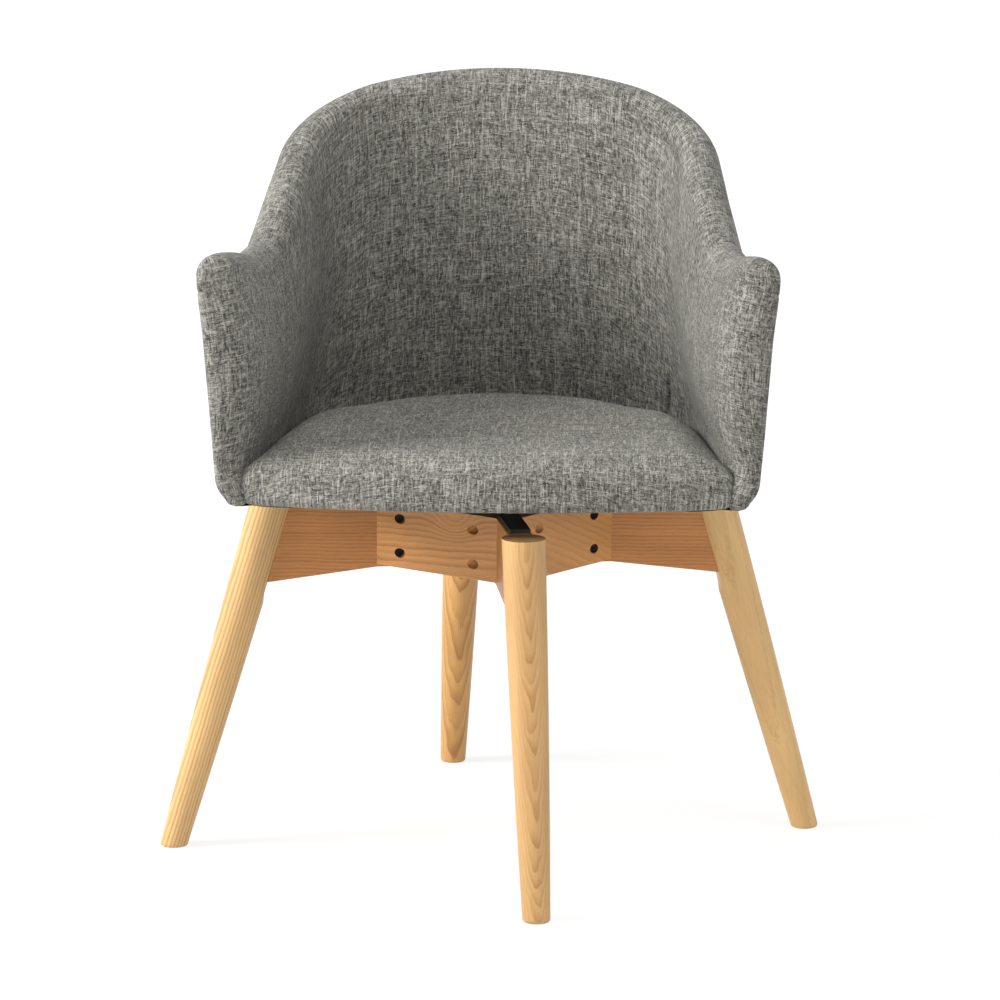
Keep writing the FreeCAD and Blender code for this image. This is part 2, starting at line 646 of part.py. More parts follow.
def side_loft(section, mirror):
    return Part.makeLoft([section(s, mirror) for s in side_stations()], True, True)


def arm_nose(mirror, inset):
    """The rounded front end of an arm, drawn in by an inset."""
    sections = []
    for i in range(NOSE_STEPS + 1):
        angle = math.radians(NOSE_ARC) * i / NOSE_STEPS
        ahead = (NOSE_LONG - inset) * math.sin(angle)
        sections.append(nose_section(-ahead, mirror, inset + NOSE_IN * (1.0 - math.cos(angle))))
    return Part.makeLoft(sections, True, True)


# The seat cushion's outline in plan: inside the shell's sides and back, with a bowed front edge

front_centre = V(0, SEAT_FRONT + SEAT_FRONT_BOW, 0)
seat_side = side_start - side_normal * SEAT_OFFSET
front_corner = tangent_corner(seat_side, side_dir * -1.0, side_normal, front_centre, SEAT_FRONT_BOW,
                              SEAT_CORNER)


def on_circle(centre, radius, angle):
    return centre + V(math.cos(angle), math.sin(angle), 0) * radius


def seat_outline(inset, z):
    """The cushion's outline at the height z, shrunk towards its middle by an inset at its widest."""
    rear_r = CORNER_R - SEAT_OFFSET
    back_r = BACK_R - SEAT_OFFSET
    front_angle = math.atan2(front_corner.y - front_centre.y, front_corner.x - front_centre.x)
    side_low = on_circle(front_corner, SEAT_CORNER, taper)
    side_high = on_circle(corner_centre, rear_r, taper)
    rear_mid = on_circle(corner_centre, rear_r, (taper + back_angle) / 2.0)
    rear_end = on_circle(corner_centre, rear_r, back_angle)
    back_mid = on_circle(back_centre, back_r, math.pi / 2.0)
    nose_mid = on_circle(front_corner, SEAT_CORNER, (taper + front_angle) / 2.0)
    nose_end = on_circle(front_corner, SEAT_CORNER, front_angle)
    front_mid = V(0, SEAT_FRONT, 0)
    share = 1.0 - inset / seat_side.x

    def put(p, mirror=False):
        x = -p.x if mirror else p.x
        return V(x * share, SEAT_MIDDLE + (p.y - SEAT_MIDDLE) * share, z)

    edges = [Part.Arc(put(nose_end, True), put(front_mid), put(nose_end)).toShape(),
             Part.Arc(put(nose_end), put(nose_mid), put(side_low)).toShape(),
             Part.makeLine(put(side_low), put(side_high)),
             Part.Arc(put(side_high), put(rear_mid), put(rear_end)).toShape(),
             Part.Arc(put(rear_end), put(back_mid), put(rear_end, True)).toShape(),
             Part.Arc(put(rear_end, True), put(rear_mid, True), put(side_high, True)).toShape(),
             Part.makeLine(put(side_high, True), put(side_low, True)),
             Part.Arc(put(side_low, True), put(nose_mid, True), put(nose_end, True)).toShape()]
    return Part.Wire(edges)


def cushion_side():
    """(share of the height, inset) pairs up the cushion's side, from its underside over to its top."""
    pairs = []
    for i in range(BELLY_STEPS):
        share = i / BELLY_STEPS
        pairs.append((BELLY_UP * share, BELLY_UNDER_IN * (1.0 - share) ** 2))
    for i in range(CROWN_STEPS + 1):
        share = math.sin(math.pi / 2.0 * i / CROWN_STEPS)
        inset = CROWN_IN * (1.0 - max(0.0, 1.0 - share ** CROWN_SQUARE) ** CROWN_ROUND)
        pairs.append((BELLY_UP + (1.0 - BELLY_UP) * share, inset))
    return pairs


def cushion_loft(inset, bottom, top):
    sections = [seat_outline(inset + drawn, bottom + (top - bottom) * share) for share, drawn in cushion_side()]
    return Part.makeLoft(sections, True, True)


def slab(inset, low, high):
    return Part.Face(seat_outline(inset, low)).extrude(V(0, 0, high - low))


# Seat cushion

cushion_outer = cushion_loft(0.0, COVER_LOW, SEAT_TOP)
cushion_inner = cushion_loft(FABRIC, SEAT_UNDER, SEAT_TOP - FABRIC)
board = slab(BOARD_INSET, SEAT_UNDER, BOARD_TOP)
under_opening = slab(BOARD_INSET + LIP, COVER_LOW - CUT_SPARE, SEAT_UNDER)

# Shell

all_stations = side_stations()[:-1] + rear_stations()
core = wall_loft(core_section, all_stations)
back_foam = wall_loft(foam_section, rear_stations())
arm_foams, noses = {}, []
for side, mirror in (("right", False), ("left", True)):
    foam_nose = arm_nose(mirror, FABRIC)
    arm_foams[side] = side_loft(foam_section, mirror).fuse(foam_nose)
    noses.append(arm_nose(mirror, 0.0).cut(foam_nose))
shell_cover = wall_loft(cover_section, all_stations).fuse(noses)


def bracket_at(along, mirror):
    """An angle bracket on the core's inner face with its foot under the seat board, and its screws."""
    normal = plan_place(along)[1]
    tangent = V(-normal.y, normal.x, 0)
    foot_end = CORE_FACE + BRACKET_REACH

    def at(inward, z):
        return wall_point(along, inward, z, False)

    top = SEAT_UNDER + BRACKET_UP
    profile = [at(CORE_FACE - CUT_SPARE, COVER_LOW), at(foot_end, COVER_LOW), at(foot_end, SEAT_UNDER),
               at(CORE_FACE + FABRIC, SEAT_UNDER), at(CORE_FACE + FABRIC, top), at(CORE_FACE - CUT_SPARE, top)]
    start = tangent * (-BRACKET_W / 2.0)
    bracket = prism([p + start for p in profile], tangent * BRACKET_W)
    foot_screw = at(foot_end - BRACKET_SCREW_EDGE, COVER_LOW)
    wall_screw = at(CORE_FACE, SEAT_UNDER + BRACKET_SCREW_UP)
    spans = []
    for side in (-1, 1):
        aside = tangent * (side * BRACKET_SCREW_STEP / 2.0)
        low = foot_screw + aside
        spans.append((low, low + V(0, 0, BRACKET_SCREW_LONG)))
        face = wall_screw + aside
        spans.append((face - normal * FABRIC, face + normal * (CORE_T * BRACKET_CORE_SHARE)))
    screws = []
    for low, high in spans:
        ahead = (high - low).normalize()
        head = rod(BRACKET_HEAD_R, low, low + ahead * FABRIC)
        screws.append(head.fuse(rod(BRACKET_SCREW_R, low, high)).removeSplitter())
    if mirror:
        bracket = bracket.mirror(CENTRE, V(1, 0, 0))
        screws = [s.mirror(CENTRE, V(1, 0, 0)) for s in screws]
    return bracket, screws


bracket_spots = [(BRACKET_FRONT, False), (BRACKET_REAR, False), (half_long, False),
                 (BRACKET_REAR, True), (BRACKET_FRONT, True)]
brackets, bracket_screws = [], []
for along, mirror in bracket_spots:
    bracket, made = bracket_at(along, mirror)
    brackets.append(bracket.cut([core] + made))
    bracket_screws += made
fittings = brackets + bracket_screws

save(core.cut(bracket_screws), "shell_core")
save(back_foam.cut(fittings), "back_foam")
for side, arm_foam in arm_foams.items():
    save(arm_foam.cut(fittings), side + "_arm_foam")
save(shell_cover.cut(fittings), "shell_cover")
save(group(brackets), "shell_brackets")
save(group(bracket_screws), "bracket_screws")

pin_recess = Part.makeCylinder(WASHER_R + PIN_ROOM_R, pin_top + PIN_ROOM - SEAT_UNDER, V(0, 0, SEAT_UNDER))
save(board.cut([pin_recess] + tee_air + bracket_screws), "seat_board")
save(cushion_inner.cut([board, pin_recess] + bracket_screws), "seat_foam")
save(cushion_outer.cut([cushion_inner, under_opening] + fittings), "seat_cover")

dust = slab(DUST_IN, COVER_LOW - DUST_T, COVER_LOW)
under_wall = wall_loft(strip_section, all_stations)
reach = plate_half + DUST_ROOM
opening = Part.makeBox(2.0 * reach, 2.0 * reach, 3.0 * DUST_T, V(-reach, -reach, COVER_LOW - 2.0 * DUST_T))
save(dust.fuse(under_wall).removeSplitter().cut(opening), "dust_cover")
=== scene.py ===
import math

import bmesh
import bpy
from mathutils import Matrix, Vector, noise

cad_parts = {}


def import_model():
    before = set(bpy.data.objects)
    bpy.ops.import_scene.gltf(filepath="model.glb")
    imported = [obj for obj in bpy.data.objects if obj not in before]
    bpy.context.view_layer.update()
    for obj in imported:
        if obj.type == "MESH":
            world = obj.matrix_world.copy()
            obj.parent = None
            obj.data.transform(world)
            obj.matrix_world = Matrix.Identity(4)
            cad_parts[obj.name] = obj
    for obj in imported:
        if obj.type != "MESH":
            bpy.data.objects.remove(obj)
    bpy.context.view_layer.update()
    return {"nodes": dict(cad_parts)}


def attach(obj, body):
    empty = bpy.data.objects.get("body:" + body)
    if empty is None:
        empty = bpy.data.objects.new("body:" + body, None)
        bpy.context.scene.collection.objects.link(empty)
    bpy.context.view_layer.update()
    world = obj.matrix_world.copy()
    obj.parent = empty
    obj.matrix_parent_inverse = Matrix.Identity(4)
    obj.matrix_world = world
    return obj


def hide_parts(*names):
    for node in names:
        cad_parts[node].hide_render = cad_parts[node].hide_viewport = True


# The looks of a swivel armchair with four ash legs and a padded shell in grey slub fabric.
# Metres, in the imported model's frame: floor at 0, +Z up, the sitter faces -Y.

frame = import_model()
nodes = frame["nodes"]

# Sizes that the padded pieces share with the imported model
SEAT_UNDER = 0.388
COVER_LOW = 0.3864
SEAT_TOP = 0.443
SHELL_FRONT_HALF = 0.272
SHELL_FRONT = -0.196
SIDE_TAPER = math.radians(5.2)
CORNER_R = 0.122
BACK_R = 0.620
SHELL_BACK = 0.262
PLAN_LEVEL = 0.430
ARM_FLARE = 0.075
SIDE_FLARE = -0.03
BACK_RAKE = 0.17
RAKE_FROM = 0.200
ARM_HEIGHT = 0.628
NOSE_RISE = 0.010
NOSE_RISE_LONG = 0.070
BACK_HEIGHT = 0.778
RISE_FROM = 0.190
RISE_SHAPE = 0.57
RIM_T = 0.042
DIP = 0.005                   # the arm's top sinks a little before the back rises
DIP_AT = 0.125
DIP_LONG = 0.035
WALL_BULGE = 0.0135           # how far the padding swells past a straight inner face
WALL_SEAT_T = 0.0345
CREASE = 0.434
BOTTOM_TUCK = 0.009
BOTTOM_TUCK_HIGH = 0.026
BOTTOM_ROUND = 0.007

# The shell's mesh
STATION_STEP = 0.006
SEAM_DOWN = 0.016             # outside seam below the rim's shoulder
SEAM_HALF = 0.0016
SEAM_DEEP = 0.0011
OUTER_STEPS = 45              # steps of a section: up its outside, over half the rim, up beside the cushion
RIM_STEPS = 9
LOW_STEPS = 10
EDGE_POINTS = 5               # points drawn before a section is evened out: lower edge, tuck, rim, inner face
TUCK_POINTS = 12
OUTER_RIM_POINTS = 16
INNER_RIM_POINTS = 20
FACE_POINTS = 40
FOOT_CORNER = 0.004
NOSE_LONG = 0.0136
NOSE_COLUMNS = 14
NOSE_ROUND_OUT = 0.012
NOSE_ROUND_IN = 0.036
NOSE_ROUND_TOP = 0.020
NOSE_ROUND_LOW = 0.010
NOSE_SLANT = 0.28             # the weave climbs towards the inside across an arm's front

# Softness of the stuffed wall
PUCKER = 0.0007               # unevenness of the cloth over the padding
PUCKER_SCALE = 17.0
PUCKER_FADE = 0.02            # it fades out this far from the rim and from the underside
ARM_PUFF = 0.0016             # the arm's outside swells near its front, under the rim
ARM_PUFF_LONG = 0.06
ARM_PUFF_DOWN = 0.035
INNER_ROUND = 0.011           # the arm's inner face rounds off towards its front
INNER_ROUND_LONG = 0.050
INNER_ROUND_LOW = 0.394       # from this level, above the core's foot, it grows over this height
INNER_ROUND_GROW = 0.036
FOLD_AT = 0.420               # small fold in the right rear corner, where it meets the cushion
FOLD_LEVEL = 0.430
FOLD_LEAN = 0.35
FOLD_HIGH = 0.060
FOLD_HALF = 0.0020
FOLD_DEEP = 0.0050
FOLD_STEP = 0.0012            # spacing of the sections there, out to this many of its half widths
FOLD_REACH = 3

# Camera of the photograph
CAMERA_AT = Vector((0.1442, -4.7309, 1.23865))
CAMERA_YAW = math.radians(-1.66)
CAMERA_PITCH = math.radians(-10.54)
CAMERA_ROLL = math.radians(0.23)
CAMERA_LENS = 167.46          # millimetres, on a sensor 36 wide
SENSOR = 36
CAMERA_CLIP = (0.1, 60)


# Plan curves of the shell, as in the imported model

side_dir = Vector((-math.sin(SIDE_TAPER), math.cos(SIDE_TAPER), 0))
side_normal = Vector((math.cos(SIDE_TAPER), math.sin(SIDE_TAPER), 0))
side_start = Vector((SHELL_FRONT_HALF, SHELL_FRONT, 0))
back_centre = Vector((0, SHELL_BACK - BACK_R, 0))


def tangent_corner(line_point, line_dir, line_normal, big_centre, big_radius, radius):
    """Centre of the arc of the given radius that touches the line and, from inside, the wide arc."""
    start = line_point - line_normal * radius - big_centre
    b = start.dot(line_dir)
    c = start.dot(start) - (big_radius - radius) ** 2
    return line_point - line_normal * radius + line_dir * (math.sqrt(b * b - c) - b)


corner_centre = tangent_corner(side_start, side_dir, side_normal, back_centre, BACK_R, CORNER_R)
side_long = (corner_centre + side_normal * CORNER_R - side_start).dot(side_dir)
back_angle = math.atan2(corner_centre.y - back_centre.y, corner_centre.x - back_centre.x)
corner_long = CORNER_R * (back_angle - SIDE_TAPER)
back_long = BACK_R * (math.pi / 2 - back_angle)
half_long = side_long + corner_long + back_long


def plan_place(along):
    if along <= side_long:
        return side_start + side_dir * along, side_normal
    if along <= side_long + corner_long:
        angle = SIDE_TAPER + (along - side_long) / CORNER_R
        normal = Vector((math.cos(angle), math.sin(angle), 0))
        return corner_centre + normal * CORNER_R, normal
    angle = back_angle + (along - side_long - corner_long) / BACK_R
    normal = Vector((math.cos(angle), math.sin(angle), 0))
    return back_centre + normal * BACK_R, normal


def ease(share):
    share = min(1.0, max(0.0, share))
    return share * share * (3 - 2 * share)


def rim_height(along):
    share = min(1.0, max(0.0, (along - RISE_FROM) / (half_long - RISE_FROM)))
    climb = (1 - math.cos(math.pi * share ** RISE_SHAPE)) / 2
    nose = NOSE_RISE * math.exp(-(along / NOSE_RISE_LONG) ** 2)
    dip = DIP * math.exp(-((along - DIP_AT) / DIP_LONG) ** 2)
    return ARM_HEIGHT + (BACK_HEIGHT - ARM_HEIGHT) * climb + nose - dip


def wall_lean(along, normal):
    out = (ARM_FLARE + (SIDE_FLARE - ARM_FLARE) * ease(along / side_long)) * normal.x
    back = BACK_RAKE * ease((along - RAKE_FROM) / (half_long - RAKE_FROM))
    return Vector((out, back, 1))


def wall_point(along, inward, height):
    place, normal = plan_place(along)
    p = place - normal * inward + wall_lean(along, normal) * (height - PLAN_LEVEL)
    p.z = height
    return p


# Shell mesh

def resample(points, count):
    """count + 1 points evenly spaced along a polyline of (inward, height) pairs."""
    spans = [math.dist(p, q) for p, q in zip(points, points[1:])]
    total = sum(spans)
    made, at, gone = [points[0]], 0, 0.0
    for i in range(1, count):
        want = total * i / count
        while gone + spans[at] < want:
            gone += spans[at]
            at += 1
        share = (want - gone) / spans[at]
        p, q = points[at], points[at + 1]
        made.append((p[0] + (q[0] - p[0]) * share, p[1] + (q[1] - p[1]) * share))
    return made + [points[-1]]


def quarter(count):
    """Angles from just above nought to a right angle."""
    return [math.pi / 2 * i / count for i in range(1, count + 1)]


def wall_profile(along):
    """(inward, height) pairs from the middle of the underside up the outer face to the rim's top, and up the
    inner face to the same top."""
    half = RIM_T / 2
    shoulder = rim_height(along) - half
    normal = plan_place(along)[1]
    foot_in = WALL_SEAT_T - wall_lean(along, normal).dot(normal) * (CREASE - COVER_LOW)
    middle = ((BOTTOM_TUCK + foot_in) / 2, COVER_LOW)
    low = [middle, (BOTTOM_TUCK + BOTTOM_ROUND, COVER_LOW)]
    for a in quarter(EDGE_POINTS):
        low.append((BOTTOM_TUCK + BOTTOM_ROUND * (1 - math.sin(a)),
                    COVER_LOW + BOTTOM_ROUND * (1 - math.cos(a))))
    for i in range(1, TUCK_POINTS + 1):
        s = i / TUCK_POINTS
        low.append((BOTTOM_TUCK * (1 - s) ** 2,
                    COVER_LOW + BOTTOM_ROUND + (BOTTOM_TUCK_HIGH - BOTTOM_ROUND) * s))
    seam = shoulder - SEAM_DOWN
    low.append((0.0, seam - SEAM_HALF))
    high = [(0.0, seam + SEAM_HALF), (0.0, shoulder)]
    high += [(half * (1 - math.cos(a)), shoulder + half * math.sin(a)) for a in quarter(OUTER_RIM_POINTS)]
    outer = resample(low, OUTER_STEPS) + [(SEAM_DEEP, seam)] + resample(high, RIM_STEPS)
    beside = [middle, (foot_in - FOOT_CORNER, COVER_LOW), (foot_in, COVER_LOW + FOOT_CORNER),
              (WALL_SEAT_T, CREASE)]
    wall = []
    for i in range(FACE_POINTS + 1):
        s = i / FACE_POINTS
        swell_in = WALL_BULGE * 4 * s * (1 - s)
        wall.append((WALL_SEAT_T + (RIM_T - WALL_SEAT_T) * s + swell_in, CREASE + (shoulder - CREASE) * s))
    wall += [(half + half * math.cos(a), shoulder + half * math.sin(a)) for a in quarter(INNER_RIM_POINTS)]
    inner = resample(beside, LOW_STEPS) + resample(wall, len(outer) - 1 - LOW_STEPS)[1:]
    return outer, inner


def stations():
    """Places along half the plan, from an arm's front to the middle of the back, closer at the fold."""
    count = round(half_long / STATION_STEP)
    marks = [half_long * i / count for i in range(count + 1)]
    last = FOLD_AT + FOLD_REACH * FOLD_HALF
    first = FOLD_AT - FOLD_HIGH * FOLD_LEAN - FOLD_REACH * FOLD_HALF
    close = round((last - first) / FOLD_STEP)
    kept = [m for m in marks if not first - FOLD_STEP < m < last + FOLD_STEP]
    return sorted(kept + [first + (last - first) * i / close for i in range(close + 1)])


def softened(along, pair, face, side):
    """A wall point in space, moved a little along the wall's normal as stuffed cloth is. Face is 1 outside
    and -1 inside, and side is 1 on the right and -1 on the left."""
    inward, height = pair
    p = wall_point(along, inward, height)
    p.x *= side
    near_rim = rim_height(along) - height
    near_edge = min(near_rim, height - COVER_LOW)
    inward -= face * PUCKER * noise.noise(p * PUCKER_SCALE) * min(1.0, near_edge / PUCKER_FADE)
    if face > 0:
        down = (rim_height(along) - height - ARM_PUFF_DOWN) / ARM_PUFF_DOWN
        inward -= ARM_PUFF * math.exp(-(along / ARM_PUFF_LONG) ** 2 - down * down)
    else:
        kept = min(1.0, near_rim / (RIM_T / 2)) * ease((height - INNER_ROUND_LOW) / INNER_ROUND_GROW)
        inward -= INNER_ROUND * max(0.0, 1 - along / INNER_ROUND_LONG) ** 2 * kept
        if side > 0:
            up = height - FOLD_LEVEL
            off = (along - FOLD_AT + up * FOLD_LEAN) / FOLD_HALF
            inward -= FOLD_DEEP * math.exp(-off * off) * ease(1 - up / FOLD_HIGH)
    p = wall_point(along, inward, height)
    p.x *= side
    return p


def arc_lengths(points):
    total, made = 0.0, [0.0]
    for p, q in zip(points, points[1:]):
        total += (q - p).length
        made.append(total)
    return made


def nose_round(distance, radius):
    share = min(1.0, max(0.0, distance / radius))
    return math.sqrt(1 - (1 - share) ** 2)


def weave_face(face, layer, spots):
    face.smooth = True
    for loop, spot in zip(face.loops, spots):
        loop[layer].uv = spot


def make_shell():
    """The padded wall as one closed mesh: a sock of rings along the plan with a rounded cap on each arm."""
    marks = stations()
    profiles = [wall_profile(along) for along in marks]
    top = len(profiles[0][0]) - 1

    def wall_rows(side):
        return [[[softened(along, pair, face, side) for pair in half]
                 for face, half in ((1, outer), (-1, inner))]
                for along, (outer, inner) in zip(marks, profiles)]

    right_rows, left_rows = wall_rows(1), wall_rows(-1)
    # Distance along the wall on its outer face and half way up its inner face, from an arm's front
    out_line = arc_lengths([r[0][top // 2] for r in right_rows])
    in_line = arc_lengths([r[1][top // 2] for r in right_rows])
    mesh = bmesh.new()
    uv = mesh.loops.layers.uv.new("weave")
    made, weave_at = [], []
    for side, rows in ((1, right_rows), (-1, left_rows[:-1])):
        for i, (outer, inner) in enumerate(rows):
            out_up, in_up = arc_lengths(outer[::-1]), arc_lengths(inner[::-1])
            u_out = (out_line[-1] - out_line[i]) * side
            u_in = (in_line[-1] - in_line[i]) * side
            spots = [(u_out, -out_up[top - k]) for k in range(top + 1)]
            spots += [(u_in, -in_up[top - k]) for k in range(top - 1, 0, -1)]
            # Above the seam the outside belongs to the inner cloth, folded over the rim
            rim_spots = [(u_in, out_up[top - k]) for k in range(top + 1)]
            made.append([mesh.verts.new(p) for p in outer + inner[top - 1:0:-1]])
            weave_at.append((spots, rim_spots, (u_in, -in_up[top])))
    count = len(marks)
    order = list(range(count)) + list(range(2 * count - 2, count - 1, -1))
    size = len(made[0])

    def spot_of(k, ring, point):
        """Where a ring's point lies on the cloth of the faces that start at point k."""
        spots, rim_spots, end = weave_at[ring]
        if k < OUTER_STEPS + 1:
            return spots[point]
        if k < top:
            return rim_spots[point]
        if point == 0:
            return end
        return (spots[top + 1][0], 0.0) if point == top else spots[point]

    for a, b in zip(order, order[1:]):
        for k in range(size):
            m = (k + 1) % size
            corners = ((a, k), (a, m), (b, m), (b, k))
            face = mesh.faces.new([made[ring][point] for ring, point in corners])
            weave_face(face, uv, [spot_of(k, ring, point) for ring, point in corners])
    close_arm(mesh, uv, 1, made[0], right_rows[0], in_line[-1])
    close_arm(mesh, uv, -1, made[order[-1]], left_rows[0], -in_line[-1])
    return finish_mesh(mesh, "shell_upholstery")


def close_arm(mesh, uv, side, ring, section, u_edge):
    """The rounded front of an arm, a grid between the outer and inner half of the wall's first ring."""
    outer, inner = section
    top = len(outer) - 1
    out_up, in_up = arc_lengths(outer[::-1]), arc_lengths(inner[::-1])
    rim = rim_height(0.0)
    forward = Vector((-side_dir.x * side, -side_dir.y, 0))
    grid = []
    for k in range(top + 1):
        line = []
        width = (outer[k] - inner[k]).length
        for m in range(NOSE_COLUMNS + 1):
            share = (1 - math.cos(math.pi * m / NOSE_COLUMNS)) / 2
            across = width * (1 - share)
            down = out_up[top - k] + (in_up[top - k] - out_up[top - k]) * share
            if m == 0 or k in (0, top):
                vert = ring[k]
            elif m == NOSE_COLUMNS:
                vert = ring[len(ring) - k]
            else:
                base = outer[k].lerp(inner[k], share)
                deep = NOSE_LONG * nose_round(width * share, NOSE_ROUND_OUT)
                deep *= nose_round(across, NOSE_ROUND_IN)
                deep *= (nose_round(rim - base.z, NOSE_ROUND_TOP)
                         * nose_round(base.z - COVER_LOW, NOSE_ROUND_LOW))
                vert = mesh.verts.new(base + forward * deep)
            line.append((vert, (u_edge + side * across, NOSE_SLANT * across - down)))
        grid.append(line)
    for k in range(top):
        for m in range(NOSE_COLUMNS):
            kept = []
            for corner in (grid[k][m], grid[k][m + 1], grid[k + 1][m + 1], grid[k + 1][m]):
                if all(corner[0] is not other[0] for other in kept):
                    kept.append(corner)
            if len(kept) > 2:
                face = mesh.faces.new([vert for vert, spot in kept])
                weave_face(face, uv, [spot for vert, spot in kept])


def link(name, data):
    made = bpy.data.objects.new(name, data)
    bpy.context.scene.collection.objects.link(made)
    return made


def finish_mesh(mesh, name, closed=True):
    if closed:
        bmesh.ops.recalc_face_normals(mesh, faces=mesh.faces[:])
    data = bpy.data.meshes.new(name)
    mesh.to_mesh(data)
    mesh.free()
    return link(name, data)


def subdivide(piece):
    modifier = piece.modifiers.new("smooth", "SUBSURF")
    modifier.levels = modifier.render_levels = 1


# Seat cushion: rings of one outline, swollen by a cloth simulation

CUSHION_FRONT = -0.240
CUSHION_BOW = 0.85            # radius of the front edge in plan
CUSHION_CORNER = 0.018
CUSHION_GAP = 0.0008
CUSHION_MIDDLE = Vector((0.0, -0.015, 0.0))
CUSHION_HALF = 0.240
CUSHION_LOWER = 0.0075        # its top starts this far below the finished seat, and swells up
CUSHION_CROWN = 0.003
REAR_CORNER = (0.185, 0.185)  # its top sinks towards the rear corners
REAR_CORNER_REACH = 0.075
REAR_CORNER_DROP = 0.013
CUSHION_WIDEN = 0.060         # its front corners spread past the rounded arm ends
CUSHION_WIDE_FROM = -0.164
CUSHION_WIDE_LONG = 0.030
FRONT_STEPS = 60
CORNER_STEPS = 24
REAR_STEPS = 40
RING_POINTS = 220
WEAVE_FRONT_GAIN = 1.25       # how the side's weave turns to run down from the front edge
WEAVE_FRONT_FROM = 0.1
CUSHION_EDGE = (              # share of the height, and inset, of the cushion's side from its underside up
    (0.0, 0.030), (0.0, 0.012), (0.03, 0.0075), (0.12, 0.0028), (0.28, 0.0004), (0.50, 0.0), (0.68, 0.0012),
    (0.79, 0.0045), (0.875, 0.011), (0.93, 0.020), (0.962, 0.034), (0.982, 0.053), (0.993, 0.080),
    (1.0, 0.12))


def arc_points(centre, radius, start, end, count):
    angles = [start + (end - start) * i / count for i in range(count + 1)]
    return [centre + Vector((math.cos(a), math.sin(a), 0)) * radius for a in angles]


def closed_outline(half, count):
    """Evenly spaced points round an outline, from its right half, front to back."""
    whole = half + [Vector((-p.x, p.y, 0)) for p in half[-2:0:-1]]
    line = [(p.x, p.y) for p in whole + whole[:1]]
    return [Vector((x, y, 0)) for x, y in resample(line, count)[:-1]]


def cushion_outline():
    offset = WALL_SEAT_T + CUSHION_GAP
    front_centre = Vector((0, CUSHION_FRONT + CUSHION_BOW, 0))
    side = side_start - side_normal * offset
    corner = tangent_corner(side, -side_dir, side_normal, front_centre, CUSHION_BOW, CUSHION_CORNER)
    front_angle = math.atan2(corner.y - front_centre.y, corner.x - front_centre.x)
    right = arc_points(front_centre, CUSHION_BOW, -math.pi / 2, front_angle, FRONT_STEPS)
    right += arc_points(corner, CUSHION_CORNER, front_angle, SIDE_TAPER, CORNER_STEPS)[1:]
    right += arc_points(corner_centre, CORNER_R - offset, SIDE_TAPER, back_angle, REAR_STEPS)
    right += arc_points(back_centre, BACK_R - offset, back_angle, math.pi / 2, REAR_STEPS)[1:]
    for p in right:
        p.x *= 1 + CUSHION_WIDEN * ease((CUSHION_WIDE_FROM - p.y) / CUSHION_WIDE_LONG)
    return closed_outline(right, RING_POINTS)


def cushion_weave(p):
    """Where a point of the cushion lies on its cloth, spread flat."""
    drop = max(0.0, SEAT_TOP - p.z)
    away = Vector((p.x, p.y, 0)) - CUSHION_MIDDLE
    front = ease(-away.y / CUSHION_HALF * WEAVE_FRONT_GAIN - WEAVE_FRONT_FROM)
    side = max(-1.0, min(1.0, away.x / CUSHION_HALF)) * (1 - front)
    return (p.x + drop * side, p.y - drop * front)


def paint_weave(piece, place):
    layer = piece.data.uv_layers.get("weave") or piece.data.uv_layers.new(name="weave")
    for loop in piece.data.loops:
        layer.data[loop.index].uv = place(piece.data.vertices[loop.vertex_index].co)


def make_cushion():
    outline = cushion_outline()
    mesh = bmesh.new()
    rings = []
    for up, inset in CUSHION_EDGE:
        share = 1 - inset / CUSHION_HALF
        z = COVER_LOW + (SEAT_TOP - CUSHION_LOWER - COVER_LOW) * up
        rings.append([mesh.verts.new(CUSHION_MIDDLE + (p - CUSHION_MIDDLE) * share + Vector((0, 0, z)))
                      for p in outline])
    for low, high in zip(rings, rings[1:]):
        for i in range(RING_POINTS):
            m = (i + 1) % RING_POINTS
            mesh.faces.new((low[i], low[m], high[m], high[i]))
    mesh.faces.new(rings[-1])
    mesh.faces.new(rings[0][::-1])
    return finish_mesh(mesh, "seat_cushion")


SWELL_CAP = 0.005
SWELL_FRAMES = 20
SWELL_PRESSURE = 4
HELD_HIGH = 0.006             # what is this near the seat board stays put
REMESH_VOXEL = 0.005
RELAX_TIMES = 3
RELAX_SHARE = 0.5
CROWN_DEEP = 0.95


def apply_modifiers(piece):
    graph = bpy.context.evaluated_depsgraph_get()
    data = bpy.data.meshes.new_from_object(piece.evaluated_get(graph))
    piece.modifiers.clear()
    piece.data = data


